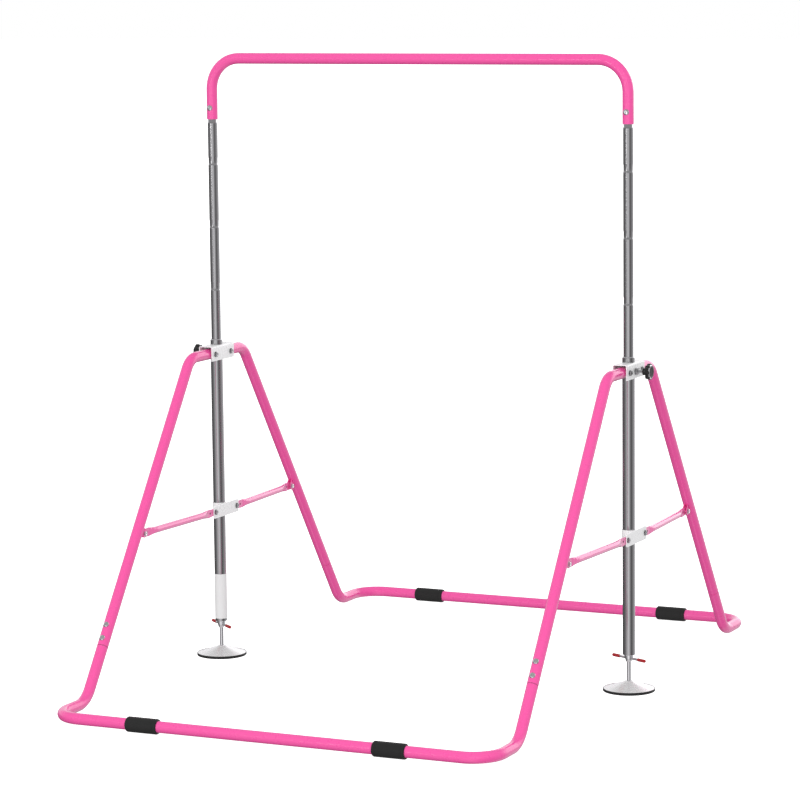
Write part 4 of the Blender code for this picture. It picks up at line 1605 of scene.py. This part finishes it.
@dataclass
class Studio:
    """A pale floor and soft light, with grey panels that only reflections show.

    A ring or a sky is a list of marks, each a bearing in degrees from the camera's side and its grey.
    """

    floor_half: float = 60.0
    floor_grey: float = 0.80
    floor_glow: float = 0.95
    backdrop: float = 1.0
    ambient: float = 0.82
    bounce: float = 0.53
    ceiling: float = 0.38
    ring: tuple[tuple[float, float], ...] = (
        (-180, 0.20), (-130, 0.13), (-95, 0.17), (-72, 0.26), (-50, 0.54), (-28, 0.80), (-10, 1.05),
        (6, 0.78), (22, 0.38), (38, 0.18), (56, 0.19), (76, 0.38), (98, 0.52), (135, 0.85), (180, 0.50))
    sky: tuple[tuple[float, float], ...] = (
        (-180, 0.95), (-130, 0.80), (-100, 0.45), (95, 0.45), (118, 1.9), (165, 1.9), (180, 0.95))
    tint: tuple[float, float, float] = (1.0, 0.985, 1.01)
    lamps: tuple[Lamp, ...] = (
        Lamp("key", (3.86, -8.28, 3.40), 4.5, 365.0),
        Lamp("fill", (-5.0, -5.5, 3.0), 3.0, 43.8),
        Lamp("glint", (-2.7, -7.5, 1.1), 0.7, 8.03, glossy=True))
    view: Viewpoint = field(default_factory=Viewpoint)

    def build(self) -> None:
        """Make the floor, the surroundings and the lights."""
        bpy.context.scene.view_settings.view_transform = "Standard"
        self._floor()
        self._surroundings()
        for lamp in self.lamps:
            lamp.hang()
        self.view.place()

    def _floor(self) -> None:
        """Lay the floor; polished metal doesn't see it, so the panels show there instead."""
        half = self.floor_half
        mesh = bpy.data.meshes.new("studio_floor")
        corners = [(-half, -half, 0), (half, -half, 0), (half, half, 0), (-half, half, 0)]
        mesh.from_pydata(corners, [], [(0, 1, 2, 3)])
        floor = add_object("studio_floor", mesh)
        paper = bpy.data.materials.new("floor paper")
        paper.use_nodes = True
        feed(paper.node_tree, paper.node_tree.nodes["Principled BSDF"], {
            "Base Color": (*[self.floor_grey] * 3, 1), "Roughness": 0.9, "Specular IOR Level": 0.0,
            "Emission Color": WHITE, "Emission Strength": self.floor_glow})
        mesh.materials.append(paper)
        floor.visible_glossy = False
        floor.visible_diffuse = False

    def _surroundings(self) -> None:
        """Light the scene evenly, with panels for reflections and a white backdrop for the camera."""
        world = bpy.data.worlds.new("studio")
        bpy.context.scene.world = world
        world.use_nodes = True
        tree = world.node_tree
        tree.nodes.clear()
        ray = wire(tree, "ShaderNodeLightPath").outputs
        height = self._split(tree, wire(tree, "ShaderNodeTexCoord").outputs["Generated"])["Z"]
        glow = map_range(tree, height, (-0.5, 0.5), (self.bounce, self.ambient))
        even, seen, panels = (wire(tree, "ShaderNodeBackground", inputs).outputs[0] for inputs in (
            {"Color": WHITE, "Strength": glow}, {"Color": WHITE, "Strength": self.backdrop},
            {"Color": self._panels(tree)}))
        lit = wire(tree, "ShaderNodeMixShader", {0: ray["Is Glossy Ray"], 1: even, 2: panels})
        final = wire(tree, "ShaderNodeMixShader", {0: ray["Is Camera Ray"], 1: lit.outputs[0], 2: seen})
        wire(tree, "ShaderNodeOutputWorld", {"Surface": final.outputs[0]})

    @staticmethod
    def _split(tree: Tree, vector: Socket) -> bpy.types.NodeOutputs:
        """Split a vector into its X, Y and Z."""
        return wire(tree, "ShaderNodeSeparateXYZ", {"Vector": vector}).outputs

    def _panels(self, tree: Tree) -> Socket:
        """Grade the surroundings by bearing: the ring below the horizon, then the sky and a ceiling.

        Args:
            tree: The world's tree.

        Returns:
            The colour.
        """
        place = wire(tree, "ShaderNodeTexCoord").outputs["Generated"]
        turned = wire(tree, "ShaderNodeVectorRotate", {"Vector": place, "Angle": -self.view.azimuth},
                      rotation_type="Z_AXIS")
        way = self._split(tree, turned.outputs["Vector"])
        back = wire(tree, "ShaderNodeMath", {0: way["Y"], 1: -1.0}, operation="MULTIPLY")
        bearing = wire(tree, "ShaderNodeMath", {0: way["X"], 1: back.outputs[0]}, operation="ARCTAN2")
        share = map_range(tree, bearing.outputs[0], (-math.pi, math.pi))
        high = wire(tree, "ShaderNodeMixRGB", {
            "Fac": map_range(tree, way["Z"], (0.44, 0.66)), "Color1": self._ramp(tree, share, self.sky),
            "Color2": (*[self.ceiling] * 3, 1)})
        both = wire(tree, "ShaderNodeMixRGB", {
            "Fac": map_range(tree, way["Z"], (-0.05, 0.03)), "Color1": self._ramp(tree, share, self.ring),
            "Color2": high.outputs["Color"]})
        return both.outputs["Color"]

    def _ramp(self, tree: Tree, share: Socket,
              stops: tuple[tuple[float, float], ...]) -> Socket:
        """Grade grey by bearing.

        Args:
            tree: The world's tree.
            share: The bearing as a share of a full turn, from behind, round by the left.
            stops: Bearing in degrees and grey of each mark.

        Returns:
            The colour.
        """
        ramp = wire(tree, "ShaderNodeValToRGB", {"Fac": share})
        ramp.color_ramp.interpolation = "EASE"
        marks = ramp.color_ramp.elements
        for degrees, _ in stops[1:-1]:
            marks.new((degrees + 180) / 360)
        for mark, (degrees, grey) in zip(marks, stops):
            mark.position = (degrees + 180) / 360
            mark.color = (*[grey * tone for tone in self.tint], 1)
        return ramp.outputs["Color"]


def main() -> None:
    """Build the kip bar round the frame, piece by piece."""
    logging.basicConfig(level=logging.INFO, format="%(name)s: %(message)s")
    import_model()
    Studio().build()
    SlidingBar().build()
    for side in Side:
        upright = Upright(side)
        FixedUpright(upright, has_label=side is Side.LEFT).build()
        for part in (ClampKnob, Collar, LevellingFoot):
            part(upright).build()
    pivot_bolts()
    for end in End:
        LegFrame(end).build()
        for side in Side:
            Strut(LegLine(side, end)).build()


if __name__ == "__main__":
    main()
